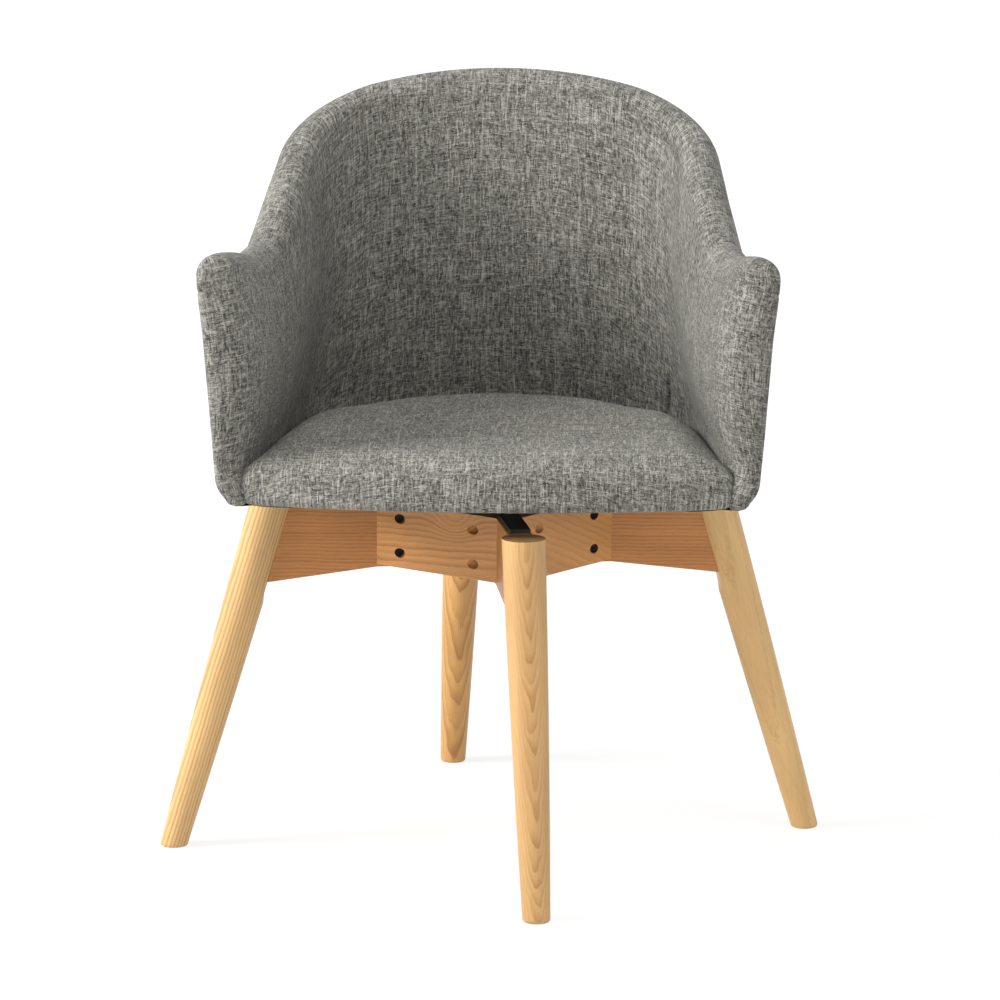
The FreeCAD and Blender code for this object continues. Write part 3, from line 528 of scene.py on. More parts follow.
def swell(piece):
    """Puffs the cushion with cloth pressure, its underside held on the board."""
    remesh = piece.modifiers.new("even", "REMESH")
    remesh.mode = "VOXEL"
    remesh.voxel_size = REMESH_VOXEL
    apply_modifiers(piece)
    start = [v.co.copy() for v in piece.data.vertices]
    held = piece.vertex_groups.new(name="held")
    held.add([i for i, p in enumerate(start) if p.z < SEAT_UNDER + HELD_HIGH], 1.0, "REPLACE")
    cloth = piece.modifiers.new("cloth", "CLOTH")
    cloth.settings.use_pressure = True
    cloth.settings.uniform_pressure_force = SWELL_PRESSURE
    cloth.settings.effector_weights.gravity = 0
    cloth.settings.vertex_group_mass = "held"
    cloth.point_cache.frame_start = 1
    cloth.point_cache.frame_end = SWELL_FRAMES
    for step in range(1, SWELL_FRAMES + 1):
        bpy.context.scene.frame_set(step)
    graph = bpy.context.evaluated_depsgraph_get()
    swollen = [v.co.copy() for v in piece.evaluated_get(graph).data.vertices]
    piece.modifiers.clear()
    for vertex, before, after in zip(piece.data.vertices, start, swollen):
        move = after - before
        if move.length > SWELL_CAP:
            move *= SWELL_CAP / move.length
        vertex.co = before + move
    bpy.context.scene.frame_set(1)
    smooth = piece.modifiers.new("relax", "SMOOTH")
    smooth.iterations = RELAX_TIMES
    smooth.factor = RELAX_SHARE
    apply_modifiers(piece)


def crown(piece):
    """Lifts the cushion's middle a little, and lets its rear corners sink."""
    for vertex in piece.data.vertices:
        p = vertex.co
        up = ease((p.z - COVER_LOW) / (SEAT_TOP - COVER_LOW))
        away = Vector((p.x, (p.y - CUSHION_MIDDLE.y) * CROWN_DEEP, 0)).length / CUSHION_HALF
        p.z += CUSHION_CROWN * up * max(0.0, 1 - away * away) + PUCKER * up * noise.noise(p * PUCKER_SCALE)
        off = math.dist((abs(p.x), p.y), REAR_CORNER) / REAR_CORNER_REACH
        p.z -= REAR_CORNER_DROP * up * math.exp(-off * off)


# Dust cover: a stretched sheet under the seat with a square opening round the swivel

DUST_OPENING = 0.092          # half its side
DUST_LEVEL = COVER_LOW - 0.0006
DUST_EDGE_IN = BOTTOM_TUCK + BOTTOM_ROUND + 0.002
DUST_RINGS = 18
DUST_POINTS = 288
DUST_SLACK = 0.0012
DUST_SLACK_SCALE = 14.0
DUST_FRONT_GAP = 0.004        # room between its side edges and its front edge
DUST_FRONT_IN = 0.032         # inset of its front edge in the middle and at the corners
DUST_CORNER_IN = 0.015
DUST_CORNER_FROM = 0.185
DUST_CORNER_LONG = 0.030


def dust_outline():
    edge = [wall_point(along, DUST_EDGE_IN, COVER_LOW) for along in stations()]
    front = [p for p in cushion_outline() if p.y < edge[0].y - DUST_FRONT_GAP]
    for i, p in enumerate(front):
        corner = ease((abs(p.x) - DUST_CORNER_FROM) / DUST_CORNER_LONG)
        inset = DUST_FRONT_IN + (DUST_CORNER_IN - DUST_FRONT_IN) * corner
        front[i] = CUSHION_MIDDLE + (p - CUSHION_MIDDLE) * (1 - inset / CUSHION_HALF)
    right_front = sorted([p for p in front if p.x >= 0], key=lambda p: p.x)
    return closed_outline(right_front + edge, DUST_POINTS)


def square_point(direction):
    largest = max(abs(direction.x), abs(direction.y))
    return Vector((direction.x, direction.y, 0)) * (DUST_OPENING / largest)


def make_dust_cover():
    outline = dust_outline()
    mesh = bmesh.new()
    rings = []
    for r in range(DUST_RINGS + 1):
        share = r / DUST_RINGS
        ring = []
        for p in outline:
            q = p.lerp(square_point(p), share)
            slack = math.sin(math.pi * share) * DUST_SLACK * noise.noise(q * DUST_SLACK_SCALE)
            ring.append(mesh.verts.new((q.x, q.y, DUST_LEVEL - abs(slack))))
        rings.append(ring)
    for a, b in zip(rings, rings[1:]):
        for i in range(DUST_POINTS):
            m = (i + 1) % DUST_POINTS
            mesh.faces.new((a[i], b[i], b[m], a[m])).smooth = True
    return finish_mesh(mesh, "dust_cover_cloth", closed=False), outline


# Staples that hold the dust cover: wire crowns bent down at both ends

STAPLE_STEP = 0.044
STAPLE_IN = 0.006             # from the cloth's edge
STAPLE_BELOW = 0.0003         # from the cloth
STAPLE_HALF = 0.005
STAPLE_WIDE = 0.0006
STAPLE_THICK = 0.0005
STAPLE_BEND = 0.0006


def make_staples(edge):
    mesh = bmesh.new()
    line = arc_lengths(edge + edge[:1])
    count = round(line[-1] / STAPLE_STEP)
    at = 0
    corners = ((1, 1), (-1, 1), (-1, -1), (1, -1))
    for i in range(count):
        while line[at + 1] < line[-1] * (i + 0.5) / count:
            at += 1
        run = (edge[(at + 1) % len(edge)] - edge[at]).normalized()
        inward = Vector((-run.y, run.x, 0))
        middle = edge[at] + inward * STAPLE_IN + Vector((0, 0, DUST_LEVEL - STAPLE_THICK - STAPLE_BELOW))
        low = -STAPLE_THICK / 2
        half = [(STAPLE_HALF - STAPLE_BEND, low), (STAPLE_HALF, STAPLE_BEND), (STAPLE_HALF, 2 * STAPLE_THICK)]
        path = [(-off, up) for off, up in half[::-1]] + half
        rings = []
        for k, (off, up) in enumerate(path):
            before, after = path[max(0, k - 1)], path[min(len(path) - 1, k + 1)]
            ahead = (run * (after[0] - before[0]) + Vector((0, 0, after[1] - before[1]))).normalized()
            thick = ahead.cross(inward) * STAPLE_THICK / 2
            wide = inward * STAPLE_WIDE
            centre = middle + run * off + Vector((0, 0, up))
            rings.append([mesh.verts.new(centre + wide * a + thick * b) for a, b in corners])
        for a, b in zip(rings, rings[1:]):
            for m in range(4):
                mesh.faces.new((a[m], a[(m + 1) % 4], b[(m + 1) % 4], b[m]))
        mesh.faces.new(rings[0][::-1])
        mesh.faces.new(rings[-1])
    return finish_mesh(mesh, "dust_cover_staples")


# Materials

class Nodes:
    """A node tree, with short calls for the sums that a pattern needs."""

    def __init__(self, owner):
        owner.use_nodes = True
        self.tree = owner.node_tree
        self.tree.nodes.clear()

    def node(self, kind, **settings):
        made = self.tree.nodes.new("ShaderNode" + kind)
        for key, value in settings.items():
            setattr(made, key, value)
        return made

    def put(self, socket, value):
        if isinstance(value, bpy.types.NodeSocket):
            self.tree.links.new(value, socket)
        else:
            socket.default_value = value

    def fed(self, kind, *values, **settings):
        """The first output of a node whose inputs get the values in order."""
        made = self.node(kind, **settings)
        for socket, value in zip(made.inputs, values):
            self.put(socket, value)
        return made.outputs[0]

    def math(self, operation, *values):
        return self.fed("Math", *values, operation=operation)

    def vector(self, x, y, z):
        return self.fed("CombineXYZ", x, y, z)

    def dot(self, a, direction):
        made = self.node("VectorMath", operation="DOT_PRODUCT")
        self.put(made.inputs[0], a)
        made.inputs[1].default_value = direction
        return made.outputs["Value"]

    def noise(self, vector, scale=1.0, detail=1.0, rough=0.5, size="3D"):
        made = self.node("TexNoise", noise_dimensions=size)
        self.put(made.inputs["Vector"], vector)
        made.inputs["Scale"].default_value = scale
        made.inputs["Detail"].default_value = detail
        made.inputs["Roughness"].default_value = rough
        return made.outputs["Fac"]

    def between(self, value, low, high, start=0.0, end=1.0):
        return self.fed("MapRange", value, low, high, start, end, interpolation_type="SMOOTHSTEP")

    def ramp(self, value, stops):
        made = self.node("ValToRGB")
        self.put(made.inputs[0], value)
        elements = made.color_ramp.elements
        while len(elements) < len(stops):
            elements.new(0.5)
        for element, (place, colour) in zip(elements, stops):
            element.position = place
            element.color = (*colour, 1)
        return made.outputs[0]

    def mix(self, share, a, b, blend="MIX"):
        made = self.node("Mix", data_type="RGBA", blend_type=blend)
        self.put(made.inputs[0], share)
        colours = [socket for socket in made.inputs if socket.type == "RGBA"]
        self.put(colours[0], a)
        self.put(colours[1], b)
        return next(socket for socket in made.outputs if socket.type == "RGBA")

    def hill(self, away):
        """One where away is nought, and less further off."""
        return self.math("POWER", math.e, self.math("MULTIPLY", away, -1.0))

    def apart(self, vector):
        made = self.node("SeparateXYZ")
        self.put(made.inputs[0], vector)
        return made.outputs


class Shader(Nodes):
    """A material with one principled surface."""

    def __init__(self, name):
        self.material = bpy.data.materials.new(name)
        super().__init__(self.material)
        self.surface = self.node("BsdfPrincipled")
        self.put(self.node("OutputMaterial").inputs["Surface"], self.surface.outputs[0])

    def spot(self):
        """The point on the piece, in metres."""
        return self.node("TexCoord").outputs["Object"]

    def finish_as(self, **values):
        for key, value in values.items():
            self.put(self.surface.inputs[key.replace("_", " ")], value)

    def bump(self, height, distance, strength=1.0):
        made = self.node("Bump")
        self.put(made.inputs["Height"], height)
        made.inputs["Distance"].default_value = distance
        made.inputs["Strength"].default_value = strength
        self.put(self.surface.inputs["Normal"], made.outputs[0])


MM = 1000.0                   # millimetres to a metre
HALF = 0.5                    # the middle of a noise's values

# Cloth, its lengths in millimetres
THREAD = 1.15                 # pitch of the threads
WANDER = (5.0, -4.0)          # how far the threads' lines stray, with the same noise both ways
WANDER_SCALE = 11.0
WARP = (3.0, 7.0, 0.30, 0.28)  # seed, length of a slub, strength of the light and of the dark streaks
WEFT = (41.0, 5.0, 0.24, 0.22)
THREAD_STEP = 3.71            # step in the noise from one thread to the next
LIGHT_STREAK = (7.13, 5.0, 0.62, 0.70)  # its own step, length in slubs, noise where it begins and is full
DARK_STREAK = (5.37, 1.4, 0.40, 0.28)
WEFT_SHARE = 0.3              # share of the weft where it lies under the warp, and what it gains on top
WEFT_GAIN = 0.4
PATCH_SCALE = 14.0
PATCH = 0.08
BAND_ACROSS = 0.30            # bands of darker and lighter threads: waves to a millimetre
BAND_ALONG = 0.035
WARP_BAND = (7.0, 0.09)       # seed and strength
WEFT_BAND = (19.0, 0.06)
CLOTH_TINT = (1.015, 0.990, 0.869)
CLOTH_TONES = ((0.22, 0.036), (0.37, 0.100), (0.50, 0.178), (0.63, 0.270), (0.80, 0.41))
CLOTH_BUMP = (0.0004, 0.7)


def fabric(name, painted_light_and_shade_level):
    """Plain weave of slubby melange yarn: black, grey and off-white threads in both directions."""
    s = Shader(name)
    place = s.node("UVMap", uv_map="weave").outputs[0]
    split = s.apart(place)
    wander = s.math("SUBTRACT", s.noise(place, WANDER_SCALE, 0.0, size="2D"), HALF)
    u, v = [s.math("MULTIPLY_ADD", split[axis], MM, s.math("MULTIPLY", wander, reach))
            for axis, reach in enumerate(WANDER)]

    def thread(across, along, seed, length, light_streak, dark_streak):
        """A thread's number, its shade and its hump. It has short dark slubs and long thin light runs."""
        at = s.math("DIVIDE", across, THREAD)
        number = s.math("FLOOR", at)

        def uneven(step, reach, detail=0.0):
            spot = s.vector(s.math("MULTIPLY_ADD", number, step, seed), s.math("DIVIDE", along, reach), 0.0)
            return s.noise(spot, 1.0, detail, size="2D")

        def streak(settings, strength):
            step, slubs, begins, full = settings
            return s.between(uneven(step, length * slubs), begins, full, 0.0, strength)

        light, dark = streak(LIGHT_STREAK, light_streak), streak(DARK_STREAK, dark_streak)
        shade = s.math("ADD", uneven(THREAD_STEP, length, 1.0), s.math("SUBTRACT", light, dark))
        hump = s.math("SINE", s.math("MULTIPLY", s.math("FRACT", at), math.pi))
        return number, shade, hump

    warp, warp_shade, warp_hump = thread(u, v, *WARP)
    weft, weft_shade, weft_hump = thread(v, u, *WEFT)
    # A large even number keeps the sum above nought, where its remainder is 0 or 1
    over = s.math("MODULO", s.math("ADD", s.math("ADD", warp, weft), 4000.0), 2.0)
    under = s.math("SUBTRACT", 1.0, over)
    weft_part = s.math("MULTIPLY_ADD", under, WEFT_GAIN, WEFT_SHARE)
    warp_part = s.math("SUBTRACT", 1.0, weft_part)
    shade = s.math("MULTIPLY_ADD", warp_shade, warp_part, s.math("MULTIPLY", weft_shade, weft_part))
    height = s.math("MULTIPLY_ADD", warp_hump, over, s.math("MULTIPLY", weft_hump, under))
    patch = s.math("SUBTRACT", s.noise(place, PATCH_SCALE, 1.0, size="2D"), HALF)
    shade = s.math("MULTIPLY_ADD", patch, PATCH, shade)
    for across, along, (seed, amount) in ((u, v, WARP_BAND), (v, u, WEFT_BAND)):
        band_at = s.vector(s.math("MULTIPLY_ADD", across, BAND_ACROSS, seed),
                           s.math("MULTIPLY", along, BAND_ALONG), 0.0)
        band = s.math("SUBTRACT", s.noise(band_at, 1.0, 1.0, size="2D"), HALF)
        shade = s.math("MULTIPLY_ADD", band, amount, shade)
    tones = [(spot, tuple(tone * painted_light_and_shade_level * share for share in CLOTH_TINT)) for spot, tone in CLOTH_TONES]
    s.finish_as(Base_Color=s.ramp(shade, tones), Roughness=0.92, Specular_IOR_Level=0.15, Sheen_Weight=0.10,
                Sheen_Roughness=0.6)
    s.bump(height, *CLOTH_BUMP)
    return s.material


# Wood tones: pale, tan and brown
LEG_TONES = ((0.65, 0.43, 0.19), (0.48, 0.26, 0.09), (0.33, 0.147, 0.044))
# Boards and blocks sit under the seat: their darker, redder tones are partly the wood's own tone and partly
# painted shade, with the warm cast of light bounced there
BOARD_TONES_WITH_PAINTED_SHADE = ((0.52, 0.222, 0.063), (0.38, 0.142, 0.037), (0.25, 0.086, 0.020))
BLOCK_TONES_WITH_PAINTED_SHADE = ((0.60, 0.285, 0.090), (0.44, 0.18, 0.050), (0.29, 0.105, 0.028))
# The front, right and rear legs are the same ash as the left leg: their tones are darker or lighter copies of
# the legs' tones, painted shade on the front and rear legs and painted light on the right leg
FRONT_LEG_PAINTED_SHADE_TONES = ((0.53, 0.315, 0.125), (0.40, 0.195, 0.063), (0.28, 0.115, 0.032))
RIGHT_LEG_PAINTED_LIGHT_TONES = ((0.71, 0.455, 0.19), (0.58, 0.335, 0.125), (0.44, 0.22, 0.075))
REAR_LEG_PAINTED_SHADE_TONES = ((0.62, 0.345, 0.115), (0.45, 0.21, 0.06), (0.29, 0.115, 0.03))

# Wood figure. Scales are waves to a millimetre
BEND = (0.011, 0.03, 3.4)     # the rings' slow bends: scale along, scale across, reach in millimetres
RIPPLE = (0.045, 0.13, 1.5)
EARLY_FULL = 0.10             # shares of a year's ring: its dark edge is full here, and gone here
EARLY_GONE = 0.80
YEAR_STEP = 0.77
YEAR_RANGE = (0.25, 0.72)
FIBRE = (0.05, 1.7, 1.7)      # scales along, towards and beside the pith
PORE = (0.2, 3.0, 3.0)
BROAD = (0.01, 0.06, 0.06)
PORE_RANGE = (0.50, 0.66)
PORE_LINE = (0.30, 0.02)      # pores fade in over this share of a ring, towards its start
PORE_DARK = 0.55
FIBRE_LIGHT = (0.25, 0.75, 0.91, 1.06)  # between two values of its noise, light grows between two shares
BROAD_LIGHT = (0.3, 0.7, -0.06, 0.06)
FOCUS_KEEPS = 0.28            # share of the figure that stays far from the focus
# Upward end faces are darkened: partly the end grain's own darker tone, partly painted shade under the seat
END_RANGE = (0.90, 0.98)      # of an end face's upward normal
END_GRAIN_AND_SHADE_TONE = 0.35
END_GRAIN_AND_SHADE_DARK = 0.75
WOOD_BUMP = (0.00012, 0.5)


def ash(name, centre, grain, pith=(0, 0, -1), pith_away=70.0, ring=3.6, slope=0.125, tones=LEG_TONES,
        seed=0.0, wave=1.0, eyes=(), eye_axis="beside", strength=1.0, steady=0.25, sense=1, focus=0.0,
        end_grain_and_shade_dark=0.0):
    """Ash wood with growth rings round a pith line beside the piece, its grain along a direction, in
    millimetres. An eye is a place where the rings close: (along, across, half length, half width, depth).
    Sense -1 turns the rings' dark edge round, for a pith in front of the face. The figure fades outside the
    focus's half width."""
    s = Shader(name)
    coordinates = s.node("TexCoord")
    spot = coordinates.outputs["Object"]
    grain = Vector(grain).normalized()
    pith = (Vector(pith) - grain * Vector(pith).dot(grain)).normalized()
    centre = Vector(centre)

    def measured(direction):
        value = s.math("SUBTRACT", s.dot(spot, direction), centre.dot(direction))
        return s.math("MULTIPLY", value, MM)

    def scaled(factors, detail=0.0):
        parts = [s.math("MULTIPLY", *pair) for pair in zip((along, towards, beside), factors)]
        return s.noise(s.vector(*parts), detail=detail)

    def sway(other, settings, seed, detail):
        long_scale, wide_scale, reach = settings
        at = s.vector(s.math("MULTIPLY", along, long_scale), s.math("MULTIPLY", other, wide_scale), seed)
        return s.math("MULTIPLY", s.math("SUBTRACT", s.noise(at, detail=detail), HALF), reach * wave)

    along, towards, beside = measured(grain), measured(pith), measured(grain.cross(pith))
    deep = s.math("SUBTRACT", pith_away, towards)
    radius = s.math("SQRT", s.math("MULTIPLY_ADD", deep, deep, s.math("MULTIPLY", beside, beside)))
    radius = s.math("MULTIPLY_ADD", along, slope, s.math("MULTIPLY", radius, sense))
    swayed = s.math("ADD", sway(towards, BEND, seed, 1.0), sway(beside, RIPPLE, seed + 5.0, 0.0))
    radius = s.math("ADD", radius, swayed)
    for at, off, half_along, half_wide, depth in eyes:
        a = s.math("DIVIDE", s.math("SUBTRACT", along, at), half_along)
        b = s.math("DIVIDE", s.math("SUBTRACT", beside if eye_axis == "beside" else towards, off), half_wide)
        away = s.math("MULTIPLY_ADD", a, a, s.math("MULTIPLY", b, b))
        radius = s.math("MULTIPLY_ADD", s.hill(away), depth, radius)
    turns = s.math("DIVIDE", radius, ring)
    year = s.math("FLOOR", turns)
    phase = s.math("FRACT", turns)
    early = s.math("MULTIPLY", s.between(phase, 0.0, EARLY_FULL),
                   s.between(phase, EARLY_FULL, EARLY_GONE, 1.0, 0.0))
    year_tone = s.noise(s.vector(s.math("MULTIPLY", year, YEAR_STEP), seed, 0.0), detail=0.0, size="2D")
    fibre = scaled(FIBRE, detail=2.0)
    pores = s.math("MULTIPLY", s.between(scaled(PORE), *PORE_RANGE), s.between(phase, *PORE_LINE))
    shade = s.math("MULTIPLY", early, s.between(year_tone, *YEAR_RANGE, steady, strength))
    if focus:
        off = s.math("DIVIDE", beside, focus)
        kept = s.math("MULTIPLY_ADD", s.hill(s.math("MULTIPLY", off, off)), 1 - FOCUS_KEEPS, FOCUS_KEEPS)
        shade = s.math("MULTIPLY", shade, kept)
        pores = s.math("MULTIPLY", pores, kept)
    pale, tan, brown = [(*tone, 1) for tone in tones]
    colour = s.mix(shade, pale, tan)
    colour = s.mix(s.math("MULTIPLY", pores, PORE_DARK), colour, brown)
    light = s.math("ADD", s.between(fibre, *FIBRE_LIGHT), s.between(scaled(BROAD), *BROAD_LIGHT))
    colour = s.mix(1.0, colour, s.vector(light, light, light), "MULTIPLY")
    if end_grain_and_shade_dark:
        # Faces whose normal points up are darker: partly the end grain drinking the lacquer, partly painted
        # shade from the seat above the legs' tops
        up = s.apart(coordinates.outputs["Normal"])[2]
        end = s.between(up, *END_RANGE, 0.0, end_grain_and_shade_dark)
        colour = s.mix(end, colour, (*darker(tones[2], END_GRAIN_AND_SHADE_TONE), 1))
    s.finish_as(Base_Color=colour, Roughness=0.44, Specular_IOR_Level=0.35, Coat_Weight=0.10,
                Coat_Roughness=0.3)
    s.bump(fibre, *WOOD_BUMP)
    return s.material


def plain(name, colours, fine, rough, bump, stain=None, **values):
    """Two near tones in small spots, and a fine unevenness that also varies the gloss. Fine and stain are the
    scale and detail of their noise, and bump is a depth and a strength."""
    s = Shader(name)
    spot = s.spot()
    grain = s.noise(spot, *fine)
    tone = s.noise(spot, *stain) if stain else grain
    gloss = s.between(grain, 0.3, 0.7, *rough) if isinstance(rough, tuple) else rough
    s.finish_as(Base_Color=s.mix(tone, *[(*colour, 1) for colour in colours]), Roughness=gloss, **values)
    s.bump(grain, *bump)
    return s.material


def darker(colour, share):
    return tuple(c * share for c in colour)


def metal(name, colour, rough, scratch=0.05):
    return plain(name, (colour, darker(colour, 0.78)), (700.0, 3.0), (rough, rough + scratch * 2),
                 (0.00003, 0.5), stain=(60.0, 2.0), Metallic=1.0)


def plastic(name, colour, rough):
    return plain(name, (colour, darker(colour, 0.9)), (400.0, 2.0), rough, (0.00003, 0.4),
                 Specular_IOR_Level=0.4)


def powder_black(name):
    return plain(name, ((0.006, 0.005, 0.005), (0.014, 0.012, 0.011)), (900.0, 2.0), (0.42, 0.55),
                 (0.00008, 0.6), stain=(30.0, 2.0), Specular_IOR_Level=0.4)


def black_oxide(name):
    return plain(name, ((0.004, 0.0035, 0.003), (0.016, 0.013, 0.011)), (500.0, 2.0), (0.38, 0.5),
                 (0.00004, 0.5), Metallic=0.6)


VENEERS = 2.4                 # thickness of two layers, millimetres
SECOND_FROM = (0.46, 0.54)    # share of it where the second, darker layer begins
SECOND_DARK = 0.35
VENEER_FIBRE = (30.0, 700.0)  # waves to a metre, along and across
VENEER_TONES = ((0.62, 0.43, 0.24), (0.50, 0.33, 0.17), (0.36, 0.22, 0.11))  # pale, dark, second layer's


def plywood(name, tone):
    """Layered veneers, stacked along Z, whose layers show on the edges."""
    s = Shader(name)
    x, y, z = s.apart(s.spot())
    second = s.between(s.math("FRACT", s.math("MULTIPLY", z, MM / VENEERS)), *SECOND_FROM)
    along, across = [s.math("MULTIPLY", *pair) for pair in zip((x, y), VENEER_FIBRE)]
    fibre = s.noise(s.vector(along, across, z), 1.0, 3.0)
    pale, dark, deep = [(*darker(colour, tone), 1) for colour in VENEER_TONES]
    colour = s.mix(s.math("MULTIPLY", second, SECOND_DARK), s.mix(fibre, pale, dark), deep)
    s.finish_as(Base_Color=colour, Roughness=0.7)
    s.bump(fibre, 0.0001, 0.4)
    return s.material


BOND_DOTS = 450.0             # bonded dots to a metre


def nonwoven(name):
    """Black spunbonded cloth: random fibres and a grid of small bonded dots."""
    s = Shader(name)
    spot = s.spot()
    fibres = s.noise(spot, 900.0, 4.0, 0.7)
    cloud = s.noise(spot, 60.0, 2.0)
    colour = s.mix(fibres, (0.010, 0.009, 0.009, 1), (0.034, 0.031, 0.030, 1))
    turns = 2 * math.pi * BOND_DOTS
    waves = [s.math("SINE", s.math("MULTIPLY", along, turns)) for along in s.apart(spot)[:2]]
    dots = s.between(s.math("MULTIPLY", *waves), 0.35, 0.75)
    s.finish_as(Base_Color=colour, Roughness=s.between(cloud, 0.3, 0.7, 0.82, 0.95), Specular_IOR_Level=0.2)
    s.bump(s.math("SUBTRACT", fibres, dots), 0.0002, 0.6)
    return s.material


def dress(name, material):
    data = nodes[name].data
    data.materials.clear()
    data.materials.append(material)


# The base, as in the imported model
BASE_TURN = math.radians(9.3)
FOOT_REACH = 0.334
LEG_TOP_REACH = 0.2295
ARM_TOP = 0.362
CROSS_MIDDLE = 0.33           # level of the middle of boards and blocks
BLOCK_REACH = 0.085
LEGS = {"right": 0, "back": 90, "left": 180, "front": 270}
BOARDS = {"side_beam": (0, 0.9), "front_back_beam": (90, 0.8)}
BLOCKS = {"back_right": 45, "back_left": 135, "front_left": 225, "front_right": 315}

# Each leg's pith lies beside it so that the photographed faces show pointed or straight grain
LEG_GRAIN = {
    # The front, right and rear legs take tones with painted shade or painted light in them
    "front": dict(pith=(0.16, -1, 0), pith_away=31.0, sense=-1, wave=2.3, strength=0.9, steady=0.5, focus=7.5,
                  tones=FRONT_LEG_PAINTED_SHADE_TONES),
    "back": dict(pith=(-0.12, 1, 0), ring=4.4, slope=0.10, wave=1.5, tones=REAR_LEG_PAINTED_SHADE_TONES,
                 eyes=((62.0, 1.0, 16.0, 6.0, 5.5), (-40.0, 0.0, 30.0, 6.0, 2.0))),
    "left": dict(pith=(1, 0.15, 0), ring=3.5, slope=0.012, pith_away=110.0, wave=0.7, strength=1.2,
                 steady=0.7),
    "right": dict(pith=(0.2, 1, 0), ring=9.0, slope=0.03, pith_away=130.0, wave=0.3, strength=0.2, steady=0.1,
                  tones=RIGHT_LEG_PAINTED_LIGHT_TONES)}
BOARD_GRAIN = dict(pith_away=95.0, ring=3.7, slope=0.03, tones=BOARD_TONES_WITH_PAINTED_SHADE)
BLOCK_GRAIN = dict(pith_away=60.0, slope=0.05, tones=BLOCK_TONES_WITH_PAINTED_SHADE, wave=1.2, eye_axis="towards")
ARCHED = dict(ring=5.6, eyes=((26.0, -22.0, 24.0, 17.0, 19.0),), strength=1.0)  # blocks whose grain arches
STRAIGHT = dict(ring=6.0, strength=0.35)
ARCHED_CLIMB = 0.12           # slope of the grain across a block
STRAIGHT_CLIMB = -0.35
BLOCK_PITH_IN = 0.4           # a block's pith lies below it and this share of that inwards


def turned_x(degrees):
    angle = math.radians(degrees) + BASE_TURN
    return Vector((math.cos(angle), math.sin(angle), 0))


def dress_base():
    """Each piece has its own seed, so that no two show the same figure."""
    for i, (side, degrees) in enumerate(LEGS.items()):
        out = turned_x(degrees)
        foot, top = out * FOOT_REACH, out * LEG_TOP_REACH + Vector((0, 0, ARM_TOP))
        dress(side + "_leg", ash("ash_" + side + "_leg", (foot + top) / 2, top - foot, seed=3.0 + 7.0 * i,
                                 end_grain_and_shade_dark=END_GRAIN_AND_SHADE_DARK, **LEG_GRAIN[side]))
    for name, (degrees, strength) in BOARDS.items():
        dress(name, ash("ash_" + name, (0, 0, CROSS_MIDDLE), turned_x(degrees), seed=40.0 + degrees,
                        strength=strength, **BOARD_GRAIN))
    for i, (corner, degrees) in enumerate(BLOCKS.items()):
        out = turned_x(degrees)
        arched = corner in ("front_left", "back_right")
        grain = Vector((-out.y, out.x, ARCHED_CLIMB if arched else STRAIGHT_CLIMB))
        dress("corner_block_" + corner,
              ash("ash_block_" + corner, out * BLOCK_REACH + Vector((0, 0, CROSS_MIDDLE)), grain,
                  Vector((0, 0, -1)) - out * BLOCK_PITH_IN, seed=60.0 + 9.0 * i, **BLOCK_GRAIN,
                  **(ARCHED if arched else STRAIGHT)))


def dress_small_parts():
    for material, names in (
            (powder_black("black_powder_coat"), "swivel_spider swivel_plate"),
            (black_oxide("black_oxide"), "connector_bolts connector_sleeve_nuts"),
            (metal("zinc_plate", (0.62, 0.62, 0.60), 0.32), "spider_screws plate_bolts tee_nuts pivot_washer "
             "pivot_nut pivot_pin shell_brackets bracket_screws"),
            (metal("race_steel", (0.50, 0.49, 0.47), 0.25), "lower_race upper_race"),
            (metal("ball_steel", (0.66, 0.66, 0.66), 0.08, 0.02), "bearing_balls"),
            (plastic("white_nylon", (0.72, 0.71, 0.66), 0.45), "ball_cage pivot_bush"),
            (plastic("beech_dowel", (0.66, 0.45, 0.24), 0.6), "leg_dowels"),
            (plywood("seat_plywood", 1.0), "seat_board"),
            (plywood("shell_plywood", 0.9), "shell_core")):
        for name in names.split():
            dress(name, material)


# Stage

AMBIENT = 0.30
FLOOR_REACH = 12.0
FLOOR_COLOUR = (0.82, 0.82, 0.81, 1)
WHITE = (1, 1, 1, 1)
GLOW = 1.1
FLOOR_GLOW = 0.75             # share of the floor's seen colour that is plain white, under the chair
GLOW_FROM = 0.45              # between these distances from the chair's axis the share grows to one
GLOW_TO = 1.5
LIGHTS = (                    # name, place, level that it is aimed at, diameter, watts
    ("key", (-2.60, -0.70, 1.82), 0.5, 1.5, 130),
    ("fill", (2.3, -1.75, 0.95), 0.40, 1.8, 17),
    ("top", (0.1, -0.7, 2.9), 0.4, 1.8, 34),
    ("rear", (0.8, 2.6, 1.7), 0.45, 1.6, 14),
    ("front", (-0.3, -3.0, 2.3), 0.45, 2.0, 14))


def camera():
    flat = math.cos(CAMERA_PITCH)
    ahead = Vector((math.sin(CAMERA_YAW) * flat, math.cos(CAMERA_YAW) * flat, math.sin(CAMERA_PITCH)))
    level = Vector((math.cos(CAMERA_YAW), -math.sin(CAMERA_YAW), 0))
    upright = level.cross(ahead)
    right = level * math.cos(CAMERA_ROLL) + upright * math.sin(CAMERA_ROLL)
    up = upright * math.cos(CAMERA_ROLL) - level * math.sin(CAMERA_ROLL)
    data = bpy.data.cameras.new("camera")
    data.lens = CAMERA_LENS
    data.sensor_width = SENSOR
    data.clip_start, data.clip_end = CAMERA_CLIP
    made = link("camera", data)
    made.matrix_world = Matrix.Translation(CAMERA_AT) @ Matrix((right, up, -ahead)).transposed().to_4x4()
    bpy.context.scene.camera = made


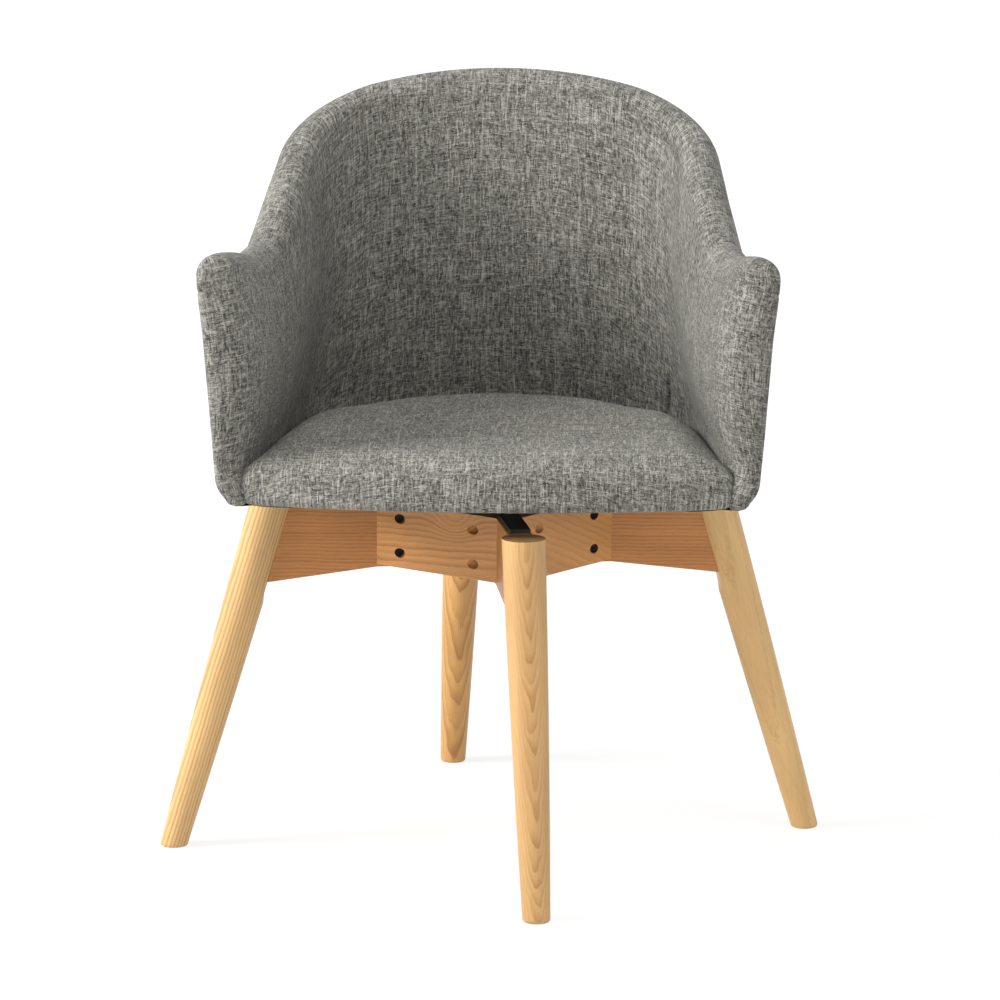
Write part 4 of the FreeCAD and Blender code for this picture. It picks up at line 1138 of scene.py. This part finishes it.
def soft_light(name, place, aim_level, size, power):
    data = bpy.data.lights.new(name, "AREA")
    data.shape = "DISK"
    data.size = size
    data.energy = power
    place = Vector(place)
    turn = (Vector((0, 0, aim_level)) - place).to_track_quat("-Z", "Y").to_matrix().to_4x4()
    link(name, data).matrix_world = Matrix.Translation(place) @ turn


def white_where_seen(n):
    """One where the camera, a mirror or glass looks, and nought for all other light."""
    path = n.node("LightPath").outputs
    seen = path["Is Camera Ray"]
    for name in ("Is Glossy Ray", "Is Transmission Ray"):
        seen = n.math("MAXIMUM", seen, path[name])
    return seen


def world():
    made = bpy.data.worlds.new("studio")
    bpy.context.scene.world = made
    n = Nodes(made)
    back = n.fed("Background", WHITE, n.between(white_where_seen(n), 0.0, 1.0, AMBIENT, 1.0))
    n.put(n.node("OutputWorld").inputs["Surface"], back)


def floor():
    data = bpy.data.meshes.new("floor")
    corners = ((-1, -1), (1, -1), (1, 1), (-1, 1))
    data.from_pydata([(x * FLOOR_REACH, y * FLOOR_REACH, 0) for x, y in corners], [], [(0, 1, 2, 3)])
    material = bpy.data.materials.new("pale_floor")
    n = Nodes(material)
    away = n.node("VectorMath", operation="LENGTH")
    n.put(away.inputs[0], n.node("TexCoord").outputs["Object"])
    grown = n.between(away.outputs["Value"], GLOW_FROM, GLOW_TO, FLOOR_GLOW, 1.0)
    both = n.fed("MixShader", n.math("MULTIPLY", white_where_seen(n), grown),
                 n.fed("BsdfDiffuse", FLOOR_COLOUR), n.fed("Emission", WHITE, GLOW))
    n.put(n.node("OutputMaterial").inputs["Surface"], both)
    data.materials.append(material)
    link("floor", data)


# Assembly

shell = make_shell()
subdivide(shell)
# The shell's cloth is painted darker than the cushion's: the same fabric, with painted shade on the shell
shell.data.materials.append(fabric("grey_slub_shell", 0.93))
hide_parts("shell_cover", "back_foam", "right_arm_foam", "left_arm_foam")
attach(shell, "seat")

cushion = make_cushion()
swell(cushion)
crown(cushion)
paint_weave(cushion, cushion_weave)
cushion.data.shade_smooth()
subdivide(cushion)
# The cushion's cloth is painted lighter than the shell's: the same fabric, with painted light on the cushion
cushion.data.materials.append(fabric("grey_slub_seat", 1.02))
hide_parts("seat_cover", "seat_foam")
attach(cushion, "seat")

dust, dust_edge = make_dust_cover()
dust.data.materials.append(nonwoven("black_spunbond"))
dust_area = abs(sum(p.x * q.y - q.x * p.y for p, q in zip(dust_edge, dust_edge[1:] + dust_edge[:1]))) / 2
dust_area -= (2 * DUST_OPENING) ** 2
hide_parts("dust_cover")
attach(dust, "seat")

staples = make_staples(dust_edge)
staples.data.materials.append(metal("staple_wire", (0.60, 0.60, 0.58), 0.34))
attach(staples, "seat")

dress_base()
dress_small_parts()
camera()
world()
floor()
for light in LIGHTS:
    soft_light(*light)
bpy.context.scene.view_settings.view_transform = "Standard"
